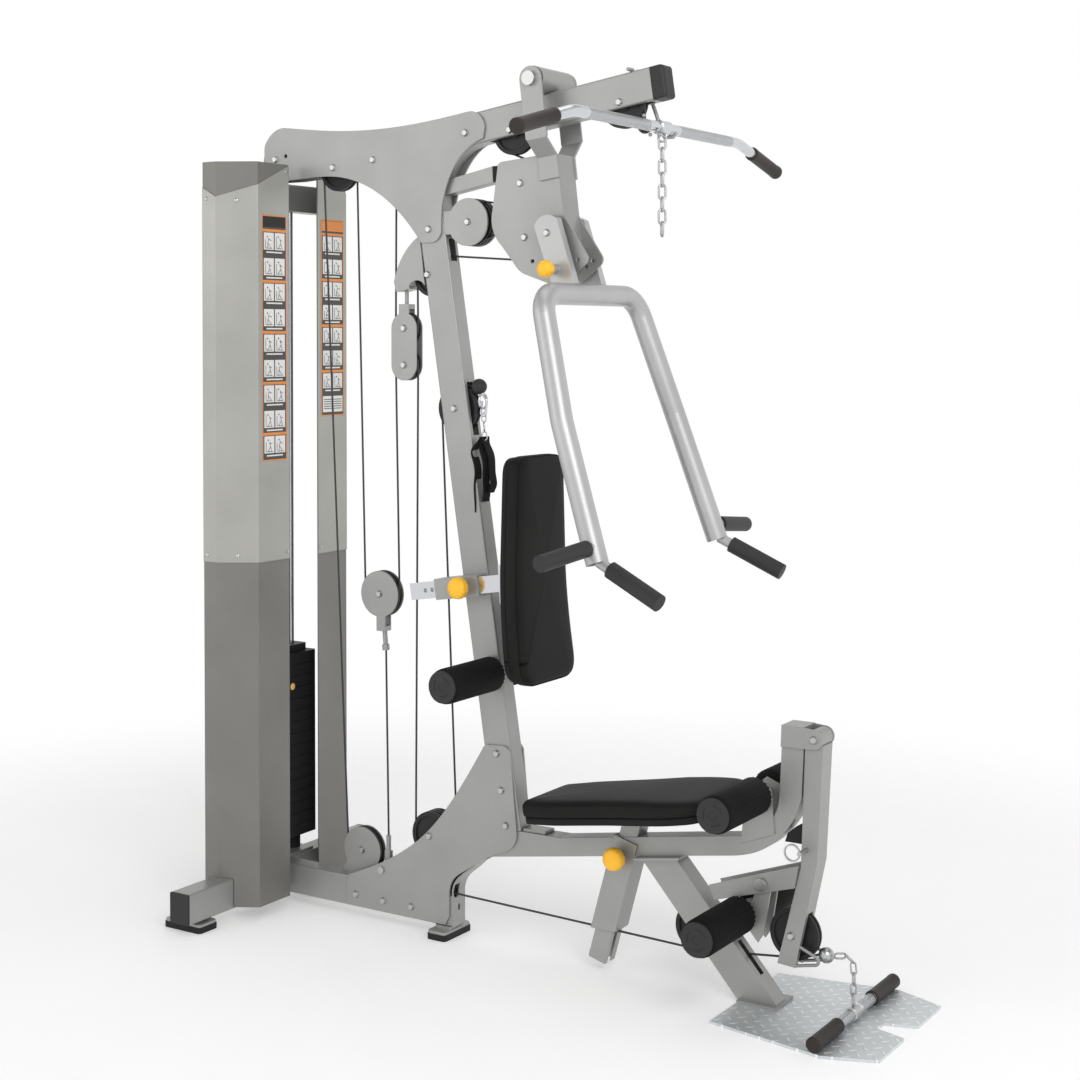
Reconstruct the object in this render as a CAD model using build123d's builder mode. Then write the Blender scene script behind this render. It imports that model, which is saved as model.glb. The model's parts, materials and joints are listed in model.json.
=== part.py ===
"""Multi station home gym: one weight stack, a press arm, lat and low pulleys and a leg lever.

Millimetres, +X to the front, +Y to the left of a seated user, +Z up.  The origin is the
centre of the middle foot's underside; y = 0 is the machine's plane of symmetry.
"""
from build123d import *
from math import asin, atan2, cos, hypot, pi, radians, sin
import os

os.makedirs("parts", exist_ok=True)

# ---- driving dimensions -------------------------------------------------------------------
tube_width = 50            # every main tube, across the machine
tube_depth = 75            # mast, boom, spine and support leg, in the machine's plane
tube_wall = 2.5
plate = 5                  # gusset plates
plate_face = tube_width / 2
bolt_radius = 5
head_radius = 9
head_height = 6
bolt_clearance = 0.06

tray_height = 14
pad_height = 14
base_bottom = tray_height + pad_height
base_top = base_bottom + tube_depth

mast_lean = 8.77           # degrees back from the vertical
mast_point = (93.3, 900)   # a point of the mast's centre line
boom_rise = 8.42           # degrees above the horizontal
boom_point = (370, 1987.8)
boom_end = 572
mast_bend = 167            # radius of the bend's centre line
mast_foot = 285            # height of the mast's lower end

wheel_rim = 57
wheel_cable = 53           # cable's centre line on a large wheel
cable_radius = 2.5
groove = 3.2
wheel_rim_width = 18
wheel_web_width = 9
hub_width = 20

stack_x = -573
rod_spacing = 170
rod_radius = 9
stack_bottom = 150
plate_height = 29
plate_pitch = 30
plate_length = 260
plate_depth = 100
lifted_count = 3
rest_count = 13

pivot = (286, 2044)        # press arm
arm_lean = 7.1
adjuster = (326, 1690)     # press handles' start position
lever_pivot = (972, 597)
roller_arm_pivot = (852, 270)
roller_radius = 41
roller_inner = 30
roller_outer = 235
shaft_radius = 12
rear_roller = (150, 657)
seat_roller = (838, 462)
lever_roller = (801, 197)

# ---- wheels: x, y, z, radius of the cable's centre line ------------------------------------
boom_front = (490, 0, 1981, wheel_cable)
boom_rear = (194, 0, 1937, wheel_cable)
sector_upper = (231, 0, 1810, wheel_cable)
disc = (74, 0, 1726, wheel_cable)
sector_lower = (243, 0, 1684, wheel_cable)
mast_wheel = (-44, 0, 1603, 48)
block_upper = (-125, 0, 1474, 34)
top_middle = (-206, 0, 1888, 50)
top_rear = (stack_x + wheel_cable, 0, 1905, wheel_cable)
mid_wheel = (34, 0, 1281, wheel_cable)
base_far = (-38, 12, 241, wheel_cable)
base_pulley = (-268, 12, 165, wheel_cable)
top_front = (-332, 0, 1875, wheel_cable)
floating = (-202, 0, 816, wheel_cable)
block_lower = (-125, 0, 1384, 34)
base_near = (-38, -12, 241, wheel_cable)
base_guide = (1, -12, 133, 25)
leg_wheel = (685, 0, 140, 52)
lever_wheel = (918, 0, 167, wheel_cable)

# ---- planes --------------------------------------------------------------------------------
mast_side = Plane(
    origin=(mast_point[0], 0, mast_point[1]),
    x_dir=(cos(radians(mast_lean)), 0, sin(radians(mast_lean))),
    z_dir=(0, -1, 0),
)
arm_side = Plane(
    origin=(pivot[0], 0, pivot[1]),
    x_dir=(cos(radians(arm_lean)), 0, sin(radians(arm_lean))),
    z_dir=(0, -1, 0),
)
arm_front = Plane(
    origin=(pivot[0], 0, pivot[1]),
    x_dir=(0, 1, 0),
    z_dir=(cos(radians(arm_lean)), 0, sin(radians(arm_lean))),
)
seat_slope = 9.2
seat_side = Plane(
    origin=(274, 0, 330),
    x_dir=(cos(radians(seat_slope)), 0, sin(radians(seat_slope))),
    z_dir=(0, -1, 0),
)
seat_plan = Plane(
    origin=(274, 0, 330),
    x_dir=(cos(radians(seat_slope)), 0, sin(radians(seat_slope))),
    z_dir=(-sin(radians(seat_slope)), 0, cos(radians(seat_slope))),
)
post_lean = 15.6
post_base = (431, 24)
post_plane = Plane(
    origin=(post_base[0], 0, post_base[1]),
    x_dir=(cos(radians(post_lean)), 0, -sin(radians(post_lean))),
    z_dir=(sin(radians(post_lean)), 0, cos(radians(post_lean))),
)


# ---- helpers: each works on the part that is open where it is called ------------------------
def side_plates(outline, inner=plate_face, thickness=plate):
    """A pair of equal plates, one each side of the plane y = 0."""
    for start in (inner + thickness, -inner):
        extrude(outline.moved(Location((0, start, 0))), amount=thickness)


def drill(points, radius=bolt_radius + bolt_clearance, reach=150, plane=Plane.XZ):
    """Cross holes along Y."""
    with BuildSketch(plane) as holes:
        with Locations(*points):
            Circle(radius)
    extrude(holes.sketch, amount=reach, both=True, mode=Mode.SUBTRACT)


def rod_along_y(centre, radius, inner, outer):
    """A round bar along Y from y = inner to y = outer."""
    with BuildSketch(Plane.XZ.offset(-inner)) as section:
        with Locations(centre):
            Circle(radius)
    extrude(section.sketch, amount=inner - outer)


def bolt(centre, reach, offset=0):
    """A bolt along Y with a domed head outside each face, reach away from y = offset."""
    rod_along_y(centre, bolt_radius, offset - reach - 1, offset + reach + 1)
    for side in (-1, 1):
        face = offset + side * reach
        with BuildSketch(Plane(origin=(centre[0], face, centre[1]), z_dir=(0, side, 0))) as head:
            Circle(head_radius)
        extrude(head.sketch, amount=head_height, taper=25)


def axle(centre, reach, gap, offset=0):
    """A bolt with spacers that keep a wheel in the middle of a gap."""
    bolt(centre, reach, offset)
    for side in (-1, 1):
        start = offset + side * (hub_width / 2 + 0.3)
        with BuildSketch(Plane(origin=(centre[0], start, centre[1]), z_dir=(0, side, 0))) as spacer:
            Circle(9)
        extrude(spacer.sketch, amount=gap - hub_width / 2 - 0.4)


def rod_between(start, end, radius):
    """A straight round bar from one point to another."""
    run = Vector(*end) - Vector(*start)
    with BuildSketch(Plane(origin=start, z_dir=run)) as section:
        Circle(radius)
    extrude(section.sketch, amount=run.length)


def bent_rod(points, radius):
    """Round bars through these points, with a ball at each bend."""
    for start, end in zip(points, points[1:]):
        rod_between(start, end, radius)
    for point in points[1:]:
        with Locations(point):
            Sphere(radius)


def channel(outer, wall, mode=Mode.SUBTRACT):
    """The inside of a tube with this outer size."""
    Rectangle(outer[0] - 2 * wall, outer[1] - 2 * wall, mode=mode)


# ---- cables ---------------------------------------------------------------------------------
def heading(first, second):
    """Direction, as an angle from +X towards +Z, of the run between two wheels with turns."""
    (ax, az, ar), (bx, bz, br) = first, second
    reach = hypot(bx - ax, bz - az)
    return atan2(bz - az, bx - ax) - asin((br - ar) / reach)


def touch(wheel, angle):
    """Where a run with this heading touches the wheel's cable circle."""
    x, y, z, signed = wheel
    return (x + signed * sin(angle), y, z - signed * cos(angle))


def route(stops):
    """Straight runs and wheel arcs through (wheel, turn) stops; turn 1 is anticlockwise."""
    wheels = [(w[0], w[1], w[2], w[3] * turn) for w, turn in stops]
    flat = [(w[0], w[2], w[3]) for w in wheels]
    angles = [heading(a, b) for a, b in zip(flat, flat[1:])]
    edges = []
    for i, angle in enumerate(angles):
        edges.append(Edge.make_line(touch(wheels[i], angle), touch(wheels[i + 1], angle)))
        if i + 1 < len(angles):
            turn = 1 if wheels[i + 1][3] > 0 else -1
            swing = (angles[i + 1] - angle) * turn % (2 * pi)
            middle = angle + turn * swing / 2
            arc = [touch(wheels[i + 1], a) for a in (angle, middle, angles[i + 1])]
            edges.append(Edge.make_three_point_arc(*arc))
    return edges


def cable(edges):
    """A round cable along these edges."""
    with BuildPart() as rope:
        for edge in edges:
            with BuildSketch(Plane(origin=edge @ 0, z_dir=edge % 0)):
                Circle(cable_radius)
            sweep(path=edge)
    return rope.part


def end_point(x, y, z):
    """A cable's end, as a wheel of no radius."""
    return ((x, y, z, 0), 1)


lat_end = (boom_front[0] + wheel_cable, 0, 1943.2)
head_top = stack_bottom + (rest_count + lifted_count) * plate_pitch + 24
upper_route = route([
    end_point(*lat_end), (boom_front, 1), (boom_rear, 1), (sector_upper, -1), (disc, 1),
    (sector_lower, -1), (mast_wheel, 1), (block_upper, -1), (top_middle, 1), (top_rear, 1),
    end_point(stack_x, 0, head_top),
])
mid_end = (70, 0, mid_wheel[2] + wheel_cable)
low_end = (972, 0, 130)
lower_route = route([
    end_point(*mid_end), (mid_wheel, 1), (base_far, -1), (base_pulley, -1), (top_front, -1),
    (floating, 1), (block_lower, -1), (base_near, 1), (base_guide, 1), (leg_wheel, 1),
    (lever_wheel, 1), end_point(*low_end),
])
anchor_route = route([end_point(-191, 0, 675.3), end_point(-184, 0, 214.8)])

upper_cable = Compound(children=[
    cable(upper_route[:4]), cable(upper_route[7:8]), cable(upper_route[11:18])])
upper_cable.label = "upper_cable"
export_step(upper_cable, "parts/upper_cable.step")

press_cable = Compound(children=[cable(upper_route[4:7]), cable(upper_route[8:11])])
press_cable.label = "press_cable"
export_step(press_cable, "parts/press_cable.step")

stack_cable = cable(upper_route[18:])
stack_cable.label = "stack_cable"
export_step(stack_cable, "parts/stack_cable.step")

lower_cable = Compound(children=[cable(lower_route[:18]), cable(anchor_route)])
lower_cable.label = "lower_cable"
export_step(lower_cable, "parts/lower_cable.step")

lever_cable = cable(lower_route[18:])
lever_cable.label = "lever_cable"
export_step(lever_cable, "parts/lever_cable.step")


# ---- wheels ---------------------------------------------------------------------------------
def pulley(wheel):
    """A grooved wheel on a plain hub, turning about Y."""
    x, y, z, cable_line = wheel
    rim = cable_line + wheel_rim - wheel_cable
    hub = min(18, cable_line * 0.45)
    bore = bolt_radius + bolt_clearance
    with BuildPart() as part:
        with BuildSketch(Plane(origin=(x, y, z), x_dir=(1, 0, 0), z_dir=(0, 0, 1))):
            with Locations(((bore + rim - 1) / 2, 0)):
                Rectangle(rim - 1 - bore, wheel_web_width)
            with Locations(((bore + hub) / 2, 0)):
                Rectangle(hub - bore, hub_width)
            with Locations((rim - 5, 0)):
                Rectangle(10, wheel_rim_width)
            with Locations((cable_line, 0)):
                Circle(groove, mode=Mode.SUBTRACT)
            with Locations((cable_line + 5, 0)):
                Rectangle(10, 2 * groove, mode=Mode.SUBTRACT)
        revolve(axis=Axis((x, y, z), (0, 1, 0)))
    return part.part


spinning = {
    "boom_front_wheel": boom_front,
    "disc_wheel": disc,
    "top_wheel": top_front,
    "mid_wheel": mid_wheel,
    "floating_wheel": floating,
    "base_pulley_wheel": base_pulley,
    "leg_wheel": leg_wheel,
    "lever_wheel": lever_wheel,
}
for name, wheel in spinning.items():
    piece = pulley(wheel)
    piece.label = name
    export_step(piece, f"parts/{name}.step")

enclosed = [mast_wheel, block_upper, block_lower, top_middle, top_rear, base_far, base_near,
            base_guide, boom_rear]
enclosed_wheels = Compound(children=[pulley(wheel) for wheel in enclosed])
enclosed_wheels.label = "enclosed_wheels"
export_step(enclosed_wheels, "parts/enclosed_wheels.step")

# ---- base -----------------------------------------------------------------------------------
stabilizer_x = -543
stabilizer_width = 60
stabilizer_half = 360
with BuildPart() as rear_stabilizer:
    with BuildSketch(Plane.XZ) as section:
        with Locations((stabilizer_x, base_bottom + tube_depth / 2)):
            RectangleRounded(stabilizer_width, tube_depth, 4)
            channel((stabilizer_width, tube_depth), tube_wall)
    extrude(amount=stabilizer_half, both=True)
    with BuildSketch(Plane.XY.offset(base_top)) as stack_base:
        with Locations((stack_x, 0)):
            Rectangle(100, 230)
    extrude(amount=6)
rear_stabilizer.part.label = "rear_stabilizer"
export_step(rear_stabilizer.part, "parts/rear_stabilizer.step")

gusset_bolts = [(160, 467), (173, 381), (186, 299), (-38, 241), (-184, 135), (-264, 61),
                (-178, 59), (-92, 59)]
front_plate_x = 26
with BuildPart() as base_spine:
    stabilizer_face = stabilizer_x + stabilizer_width / 2
    length = front_plate_x - stabilizer_face
    with BuildSketch(Plane.YZ.offset(stabilizer_face)):
        with Locations((0, base_bottom + tube_depth / 2)):
            RectangleRounded(tube_width, tube_depth, 4)
            channel((tube_width, tube_depth), tube_wall)
    extrude(amount=length)
    drill(gusset_bolts[5:])
    with BuildSketch(Plane.XZ) as front_strip:
        with BuildLine():
            Line((front_plate_x, base_bottom), (front_plate_x, 107))
            Spline((26, 107), (71, 174), (129, 214), tangents=[(0, 1), (1, 0.25)])
            Line((129, 214), (130, 210))
            Spline((130, 210), (74, 171), (30, 107), tangents=[(-1, -0.25), (0, -1)])
            Polyline((30, 107), (30, base_bottom), (front_plate_x, base_bottom))
        make_face()
    extrude(amount=plate_face, both=True)
    with BuildSketch(Plane.YZ.offset(front_plate_x - 5)) as ports:
        with Locations((-12, 120)):
            SlotOverall(44, 22, rotation=90)
        with Locations((0, 72)):
            SlotOverall(16, 8, rotation=90)
    extrude(amount=14, mode=Mode.SUBTRACT)
base_spine.part.label = "base_spine"
export_step(base_spine.part, "parts/base_spine.step")

with BuildPart() as base_gussets:
    with BuildSketch(Plane.XZ, mode=Mode.PRIVATE) as outline:
        with BuildLine():
            Line((-279, 32), (9, 32))
            Line((9, 32), (21, 54))
            Line((21, 54), (21, 107))
            Spline((21, 107), (68, 173), (130, 212), (186, 237), tangents=[(0, 1), (1, 0.35)])
            ThreePointArc((186, 237), (208, 255), (216, 285))
            Line((216, 285), (198, 472))
            ThreePointArc((198, 472), (188, 484), (172, 487))
            Line((172, 487), (138, 485))
            ThreePointArc((138, 485), (126, 482), (119, 473))
            Spline((119, 473), (26, 332), (-62, 234), (-161, 166), (-283, 110))
            ThreePointArc((-283, 110), (-290, 105), (-293, 97))
            Line((-293, 97), (-293, 46))
            ThreePointArc((-293, 46), (-289, 36), (-279, 32))
        make_face()
    side_plates(outline.sketch)
    drill(gusset_bolts)
base_gussets.part.label = "base_gussets"
export_step(base_gussets.part, "parts/base_gussets.step")

feet = [(-567, 299, 120, 66), (-567, -299, 120, 66), (0, 0, 56, 114)]
with BuildPart() as foot_pads:
    for x, y, length, width in feet:
        with BuildSketch(Plane.XY):
            with Locations((x, y)):
                RectangleRounded(length, width, 10)
    extrude(amount=pad_height)
foot_pads.part.label = "foot_pads"
export_step(foot_pads.part, "parts/foot_pads.step")

with BuildPart() as foot_trays:
    for x, y, length, width in feet:
        with BuildSketch(Plane.XY.offset(pad_height)):
            with Locations((x, y)):
                RectangleRounded(length - 4, width - 4, 9)
    extrude(amount=tray_height - 7)
    for x, y, length, width in feet:
        with BuildSketch(Plane.XY.offset(pad_height + tray_height - 7)):
            with Locations((x, y)):
                RectangleRounded(min(length - 10, 74), min(width - 10, 56), 6)
    extrude(amount=7)
foot_trays.part.label = "foot_trays"
export_step(foot_trays.part, "parts/foot_trays.step")

# ---- mast and boom --------------------------------------------------------------------------
mast_axis = (sin(radians(mast_lean)), -cos(radians(mast_lean)))
mast_run = (mast_point[1] - mast_foot) / cos(radians(mast_lean))
mast_end = (mast_point[0] + mast_axis[0] * mast_run, mast_point[1] + mast_axis[1] * mast_run)
slope = sin(radians(boom_rise)) / cos(radians(boom_rise))
tangent = sin(radians(mast_lean)) / cos(radians(mast_lean))
corner_x = (
    mast_point[0] - tangent * (boom_point[1] - slope * boom_point[0] - mast_point[1])
) / (1 + tangent * slope)
corner = (corner_x, boom_point[1] + slope * (corner_x - boom_point[0]))
boom_tip = (boom_end, boom_point[1] + slope * (boom_end - boom_point[0]))
boom_plane = Plane(
    origin=(boom_tip[0], 0, boom_tip[1]),
    x_dir=(0, 1, 0),
    z_dir=(cos(radians(boom_rise)), 0, sin(radians(boom_rise))),
)
with BuildPart() as mast_boom:
    with BuildLine(Plane.XZ) as centre_line:
        FilletPolyline(boom_tip, corner, mast_end, radius=mast_bend)
    with BuildSketch(boom_plane):
        RectangleRounded(tube_width, tube_depth, 5)
        channel((tube_width, tube_depth), tube_wall)
    sweep(path=centre_line.wires()[0])
    half_slot = 12.5
    with BuildSketch(Plane.XZ) as wheel_slots:
        Polygon((-90, 1540), (-70, 1662), (-25, 1662), (-5, 1540), align=None)
        Polygon((-20, 1636), (-20, 1690), (50, 1690), (50, 1636), align=None)
        Polygon((-60, 1218), (-60, 1345), (120, 1345), (120, 1218), align=None)
        Polygon((128, 1890), (128, 1942), (262, 1942), (262, 1890), align=None)
        Polygon((425, 1930), (425, 1990), (565, 1990), (565, 1930), align=None)
    extrude(amount=half_slot, both=True, mode=Mode.SUBTRACT)
    drill([(160, 467), (173, 381), (186, 299), (71, 1937), (-37, 1712)])
    drill([wheel[::2][:2] for wheel in (boom_front, boom_rear, mast_wheel, mid_wheel)])
    drill([rear_roller], radius=shaft_radius + bolt_clearance)
    drill([(mast_wheel[0], mast_wheel[2])], radius=9.5, reach=22.45)
mast_boom.part.label = "mast_boom"
export_step(mast_boom.part, "parts/mast_boom.step")

top_bolts = [(-486, 1912), (-332, 1875), (-206, 1888), (71, 1937), (-37, 1712)]
crossmember_top = 1850
with BuildPart() as top_gussets:
    with BuildSketch(Plane.XZ, mode=Mode.PRIVATE) as outline:
        with BuildLine():
            Polyline((-588, crossmember_top), (-557, 1885), (-557, 1930))
            Spline((-557, 1930), (-545, 1958), (-491, 1984), tangents=[(0, 1), (1, 0)])
            Spline((-491, 1984), (-350, 1968), (-200, 1962), (-78, 1968), (78, 1987),
                   tangents=[(1, -0.12), (1, 0.15)])
            ThreePointArc((78, 1987), (111, 1978), (126, 1948))
            Line((126, 1948), (122, 1922))
            Spline((122, 1922), (39, 1860), (5, 1780), (0, 1712), tangents=[(-1, -0.3), (0, -1)])
            ThreePointArc((0, 1712), (-8, 1690), (-28, 1680))
            Line((-28, 1680), (-60, 1680))
            Spline((-60, 1680), (-132, 1762), (-222, 1823), (-315, 1851), (-400, 1854),
                   (-470, crossmember_top))
            Line((-470, crossmember_top), (-588, crossmember_top))
        make_face()
    side_plates(outline.sketch)
    drill(top_bolts[1:])
    drill([(top_rear[0], top_rear[2]), top_bolts[0]])
    crossmember_width = 50
    crossmember_height = 70
    with BuildSketch(Plane.XZ):
        with Locations((stack_x, crossmember_top - crossmember_height / 2)):
            RectangleRounded(crossmember_width, crossmember_height, 3)
            channel((crossmember_width, crossmember_height), tube_wall)
    extrude(amount=222, both=True)
    with BuildSketch(Plane.XY.offset(crossmember_top - crossmember_height - 1)):  # rear corners
        with Locations((stack_x - crossmember_width / 2, -222),
                       (stack_x - crossmember_width / 2, 222)):
            Rectangle(20, 40)
    extrude(amount=crossmember_height + 2, mode=Mode.SUBTRACT)
    with BuildSketch(Plane.XY.offset(crossmember_top - crossmember_height - 1)):
        with Locations((stack_x, 0)):
            Circle(12)
    extrude(amount=crossmember_height + 2, mode=Mode.SUBTRACT)
    with BuildSketch(Plane.XY.offset(crossmember_top - crossmember_height - 1)):
        with Locations((stack_x, -rod_spacing / 2), (stack_x, rod_spacing / 2)):
            Circle(rod_radius)
    extrude(amount=6, mode=Mode.SUBTRACT)
top_gussets.part.label = "top_gussets"
export_step(top_gussets.part, "parts/top_gussets.step")

barrel_radius = 30
barrel_half = 69
with BuildPart() as mast_fittings:
    rod_along_y(pivot, barrel_radius, -barrel_half, barrel_half)          # press pivot barrel
    drill([pivot], radius=shaft_radius + bolt_clearance)
    with BuildSketch(boom_plane.offset(-400), mode=Mode.PRIVATE) as boom_section:
        RectangleRounded(tube_width, tube_depth, 5)
    extrude(boom_section.sketch, amount=400, mode=Mode.SUBTRACT)
    with BuildSketch(Plane.XZ) as strut:                                   # press rest strut
        with BuildLine():
            Polyline((2, 1793), (142.4, 1818), (140, 1855), (7.5, 1829.5), close=True)
        make_face()
    extrude(amount=18, both=True)
    with BuildSketch(Plane.XZ, mode=Mode.PRIVATE) as quarter:               # mast wheel bracket
        with BuildLine():
            Line((-68, 1698), (-82, 1689))
            ThreePointArc((-82, 1689), (-124, 1642), (-146, 1586))
            Line((-146, 1586), (-141, 1570))
            Line((-141, 1570), (-100, 1577))
            ThreePointArc((-100, 1577), (-76, 1590), (-53, 1577))
            Line((-53, 1577), (-68, 1698))
        make_face()
    side_plates(quarter.sketch, inner=20)
    with BuildSketch(Plane.XZ) as lug:
        Polygon((-141, 1570), (-100, 1577), (-99, 1570), (-140, 1563), align=None)
    extrude(amount=plate_face, both=True)
    with BuildSketch(mast_side.offset(50)) as sleeve:                      # back pad sleeve
        with Locations((-24.75, -37)):
            Rectangle(124.5, 50)
    extrude(sleeve.sketch, amount=25, both=True)
    with BuildSketch(mast_side.offset(50), mode=Mode.PRIVATE) as bore:
        with Locations((-24.75, -37)):
            Rectangle(130, 40.6)
    extrude(bore.sketch, amount=20.3, both=True, mode=Mode.SUBTRACT)
    with BuildSketch(mast_side.offset(65), mode=Mode.PRIVATE) as pin_hole:
        with Locations((1, -37)):
            Circle(5.1)
    extrude(pin_hole.sketch, amount=15, mode=Mode.SUBTRACT)
    rod_along_y(rear_roller, shaft_radius, -roller_outer + 1, roller_outer - 1)
    for side in (-1, 1):                                                    # lat bar holder
        bent_rod([(517, side * 10, 2052.3), (517, side * 31, 2052.3), (558, side * 31, 1946),
                  (575, side * 33, 1902), (597, side * 33, 1902), (603, side * 33, 1909)], 4.5)
mast_fittings.part.label = "mast_fittings"
export_step(mast_fittings.part, "parts/mast_fittings.step")

with BuildPart() as pulley_blocks:
    with BuildSketch(Plane.XZ, mode=Mode.PRIVATE) as double_block:
        with Locations((block_upper[0], (block_upper[2] + block_lower[2]) / 2)):
            SlotCenterToCenter(block_upper[2] - block_lower[2], 76, rotation=90)
        with Locations((block_upper[0], 1512)):
            Rectangle(30, 20)
    side_plates(double_block.sketch, inner=10.5, thickness=2.5)
    with BuildSketch(Plane.XZ) as clamp:
        with Locations((block_upper[0], 1527)):
            Rectangle(30, 12)
    extrude(amount=13, both=True)
    rod_between((block_upper[0], 0, 1533), (block_upper[0], 0, 1564), 5)
    with BuildSketch(Plane.XZ, mode=Mode.PRIVATE) as floating_block:
        with Locations((floating[0], floating[2])):
            Circle(wheel_rim)
        with Locations((floating[0] + 4, floating[2] - 68)):
            Rectangle(26, 40)
    side_plates(floating_block.sketch, inner=10.5, thickness=2.5)
    with BuildSketch(Plane.XZ) as clevis:
        with Locations((floating[0] + 4, floating[2] - 86)):
            Rectangle(26, 12)
    extrude(amount=13, both=True)
    rod_between((floating[0] + 7, 0, floating[2] - 92), (floating[0] + 10, 0, 690), 6)
    rod_between((floating[0] + 10, 0, 690), (floating[0] + 11, 0, 676), 9)
    rod_between((-184, 0, 214), (-184, 0, 176), 6)                          # cable's anchor
    with BuildSketch(Plane.XZ) as anchor_eye:
        with Locations((-184, 160)):
            Rectangle(16, 34)
        with Locations((-184, 135)):
            Circle(14)
            Circle(bolt_radius + bolt_clearance, mode=Mode.SUBTRACT)
    extrude(amount=6, both=True)
    with BuildSketch(Plane.XZ, mode=Mode.PRIVATE) as base_bracket:
        with BuildLine():
            Line((-334, base_top), (-236, base_top))
            Line((-236, base_top), (-252, 168))
            ThreePointArc((-252, 168), (-268, 181), (-284, 168))
            Line((-284, 168), (-334, base_top))
        make_face()
        with Locations((base_pulley[0], base_pulley[2])):
            Circle(wheel_rim)
    cheeks = base_bracket.sketch.moved(Location((0, base_pulley[1], 0)))
    side_plates(cheeks, inner=10.4, thickness=2)
    centres = [wheel[::2][:2] for wheel in (block_upper, block_lower, floating, base_pulley)]
    drill(centres)
    with BuildSketch(Plane.XZ, mode=Mode.PRIVATE) as discs:
        Polygon((8.3, 1698), (74, 1698), (74, 1754), (-0.3, 1754), align=None)
        with Locations((disc[0], disc[2])):
            Circle(wheel_rim)
    side_plates(discs.sketch, inner=20)
    drill([(disc[0], disc[2])])
pulley_blocks.part.label = "pulley_blocks"
export_step(pulley_blocks.part, "parts/pulley_blocks.step")

# ---- fixed bolts ----------------------------------------------------------------------------
with BuildPart() as frame_bolts:
    for centre in gusset_bolts[:3] + gusset_bolts[5:] + top_bolts[3:]:
        bolt(centre, 30)
    for wheel in (top_front, top_middle, top_rear):
        axle((wheel[0], wheel[2]), 30, 25)
    for wheel in (boom_front, boom_rear, mid_wheel, leg_wheel):
        axle((wheel[0], wheel[2]), 25, 22.5)
    axle((mast_wheel[0], mast_wheel[2]), 25, 20)
    axle((disc[0], disc[2]), 25, 20)
    bolt((base_far[0], base_far[2]), 30)
    rod_along_y(gusset_bolts[4], bolt_radius, -30.9, 8.5)
    rod_along_y(gusset_bolts[4], head_radius, -35, -30)
    rod_along_y((base_guide[0], base_guide[2]), bolt_radius, -24.9, 24.9)
    for wheel in (block_upper, block_lower, floating):
        bolt((wheel[0], wheel[2]), 13)
    bolt((base_pulley[0], base_pulley[2]), 12.4, offset=base_pulley[1])
    bolt(lever_pivot, 31)
    rod_along_y(seat_roller, shaft_radius, -roller_outer + 1, roller_outer - 1)
frame_bolts.part.label = "frame_bolts"
export_step(frame_bolts.part, "parts/frame_bolts.step")

# ---- weight stack ---------------------------------------------------------------------------
rod_points = [(stack_x, -rod_spacing / 2), (stack_x, rod_spacing / 2)]
stem_radius = 13
pin_radius = 5
pin_height = stack_bottom + rest_count * plate_pitch + 13


def plates(count, bottom):
    """A pile of weight plates with rod holes, stem hole and selector slot."""
    for i in range(count):
        level = bottom + i * plate_pitch
        with BuildSketch(Plane.XY.offset(level)) as section:
            with Locations((stack_x, 0)):
                RectangleRounded(plate_depth, plate_length, 8)
                Circle(stem_radius + 2, mode=Mode.SUBTRACT)
            with Locations(*rod_points):
                Circle(rod_radius + 0.08, mode=Mode.SUBTRACT)
        extrude(section.sketch, amount=plate_height)
        with BuildSketch(Plane.YZ.offset(stack_x)) as pin_hole:
            with Locations((0, level + 13)):
                Circle(pin_radius + 0.08)
        extrude(pin_hole.sketch, amount=plate_depth, mode=Mode.SUBTRACT)


with BuildPart() as rest_plates:
    plates(rest_count, stack_bottom)
rest_plates.part.label = "rest_plates"
export_step(rest_plates.part, "parts/rest_plates.step")

lifted_bottom = stack_bottom + rest_count * plate_pitch
with BuildPart() as lifted_plates:
    plates(lifted_count, lifted_bottom)
lifted_plates.part.label = "lifted_plates"
export_step(lifted_plates.part, "parts/lifted_plates.step")

head_bottom = lifted_bottom + lifted_count * plate_pitch
with BuildPart() as stack_head:
    with BuildSketch(Plane.XY.offset(head_bottom)):
        with Locations((stack_x, 0)):
            RectangleRounded(plate_depth - 30, plate_length - 40, 8)
        with Locations(*rod_points):
            Circle(rod_radius + 0.08, mode=Mode.SUBTRACT)
    extrude(amount=18)
    with BuildSketch(Plane.XY.offset(stack_bottom + 2)):
        with Locations((stack_x, 0)):
            Circle(stem_radius)
    extrude(amount=head_bottom - stack_bottom - 2)
    with BuildSketch(Plane.XY.offset(head_bottom + 18)):
        with Locations((stack_x, 0)):
            Circle(11)
    extrude(amount=head_top - head_bottom - 18)
    with BuildSketch(Plane.YZ.offset(stack_x)):
        for i in range(rest_count + lifted_count):
            with Locations((0, stack_bottom + i * plate_pitch + 13)):
                Circle(pin_radius + 0.08)
    extrude(amount=20, both=True, mode=Mode.SUBTRACT)
stack_head.part.label = "stack_head"
export_step(stack_head.part, "parts/stack_head.step")

rod_bottom = base_top + 6
with BuildPart() as guide_rods:
    with BuildSketch(Plane.XY.offset(rod_bottom)):
        with Locations(*rod_points):
            Circle(rod_radius)
    extrude(amount=crossmember_top - crossmember_height + 2.5 - rod_bottom)
guide_rods.part.label = "guide_rods"
export_step(guide_rods.part, "parts/guide_rods.step")

pin_face = stack_x + plate_depth / 2
with BuildPart() as selector_pin:
    rod_between((stack_x - 12.9, 0, pin_height), (pin_face + 4, 0, pin_height), pin_radius)
    rod_between((pin_face + 1, 0, pin_height), (pin_face + 8, 0, pin_height), 13)
    rod_between((pin_face + 8, 0, pin_height), (pin_face + 30, 0, pin_height), 9)
selector_pin.part.label = "selector_pin"
export_step(selector_pin.part, "parts/selector_pin.step")

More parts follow.
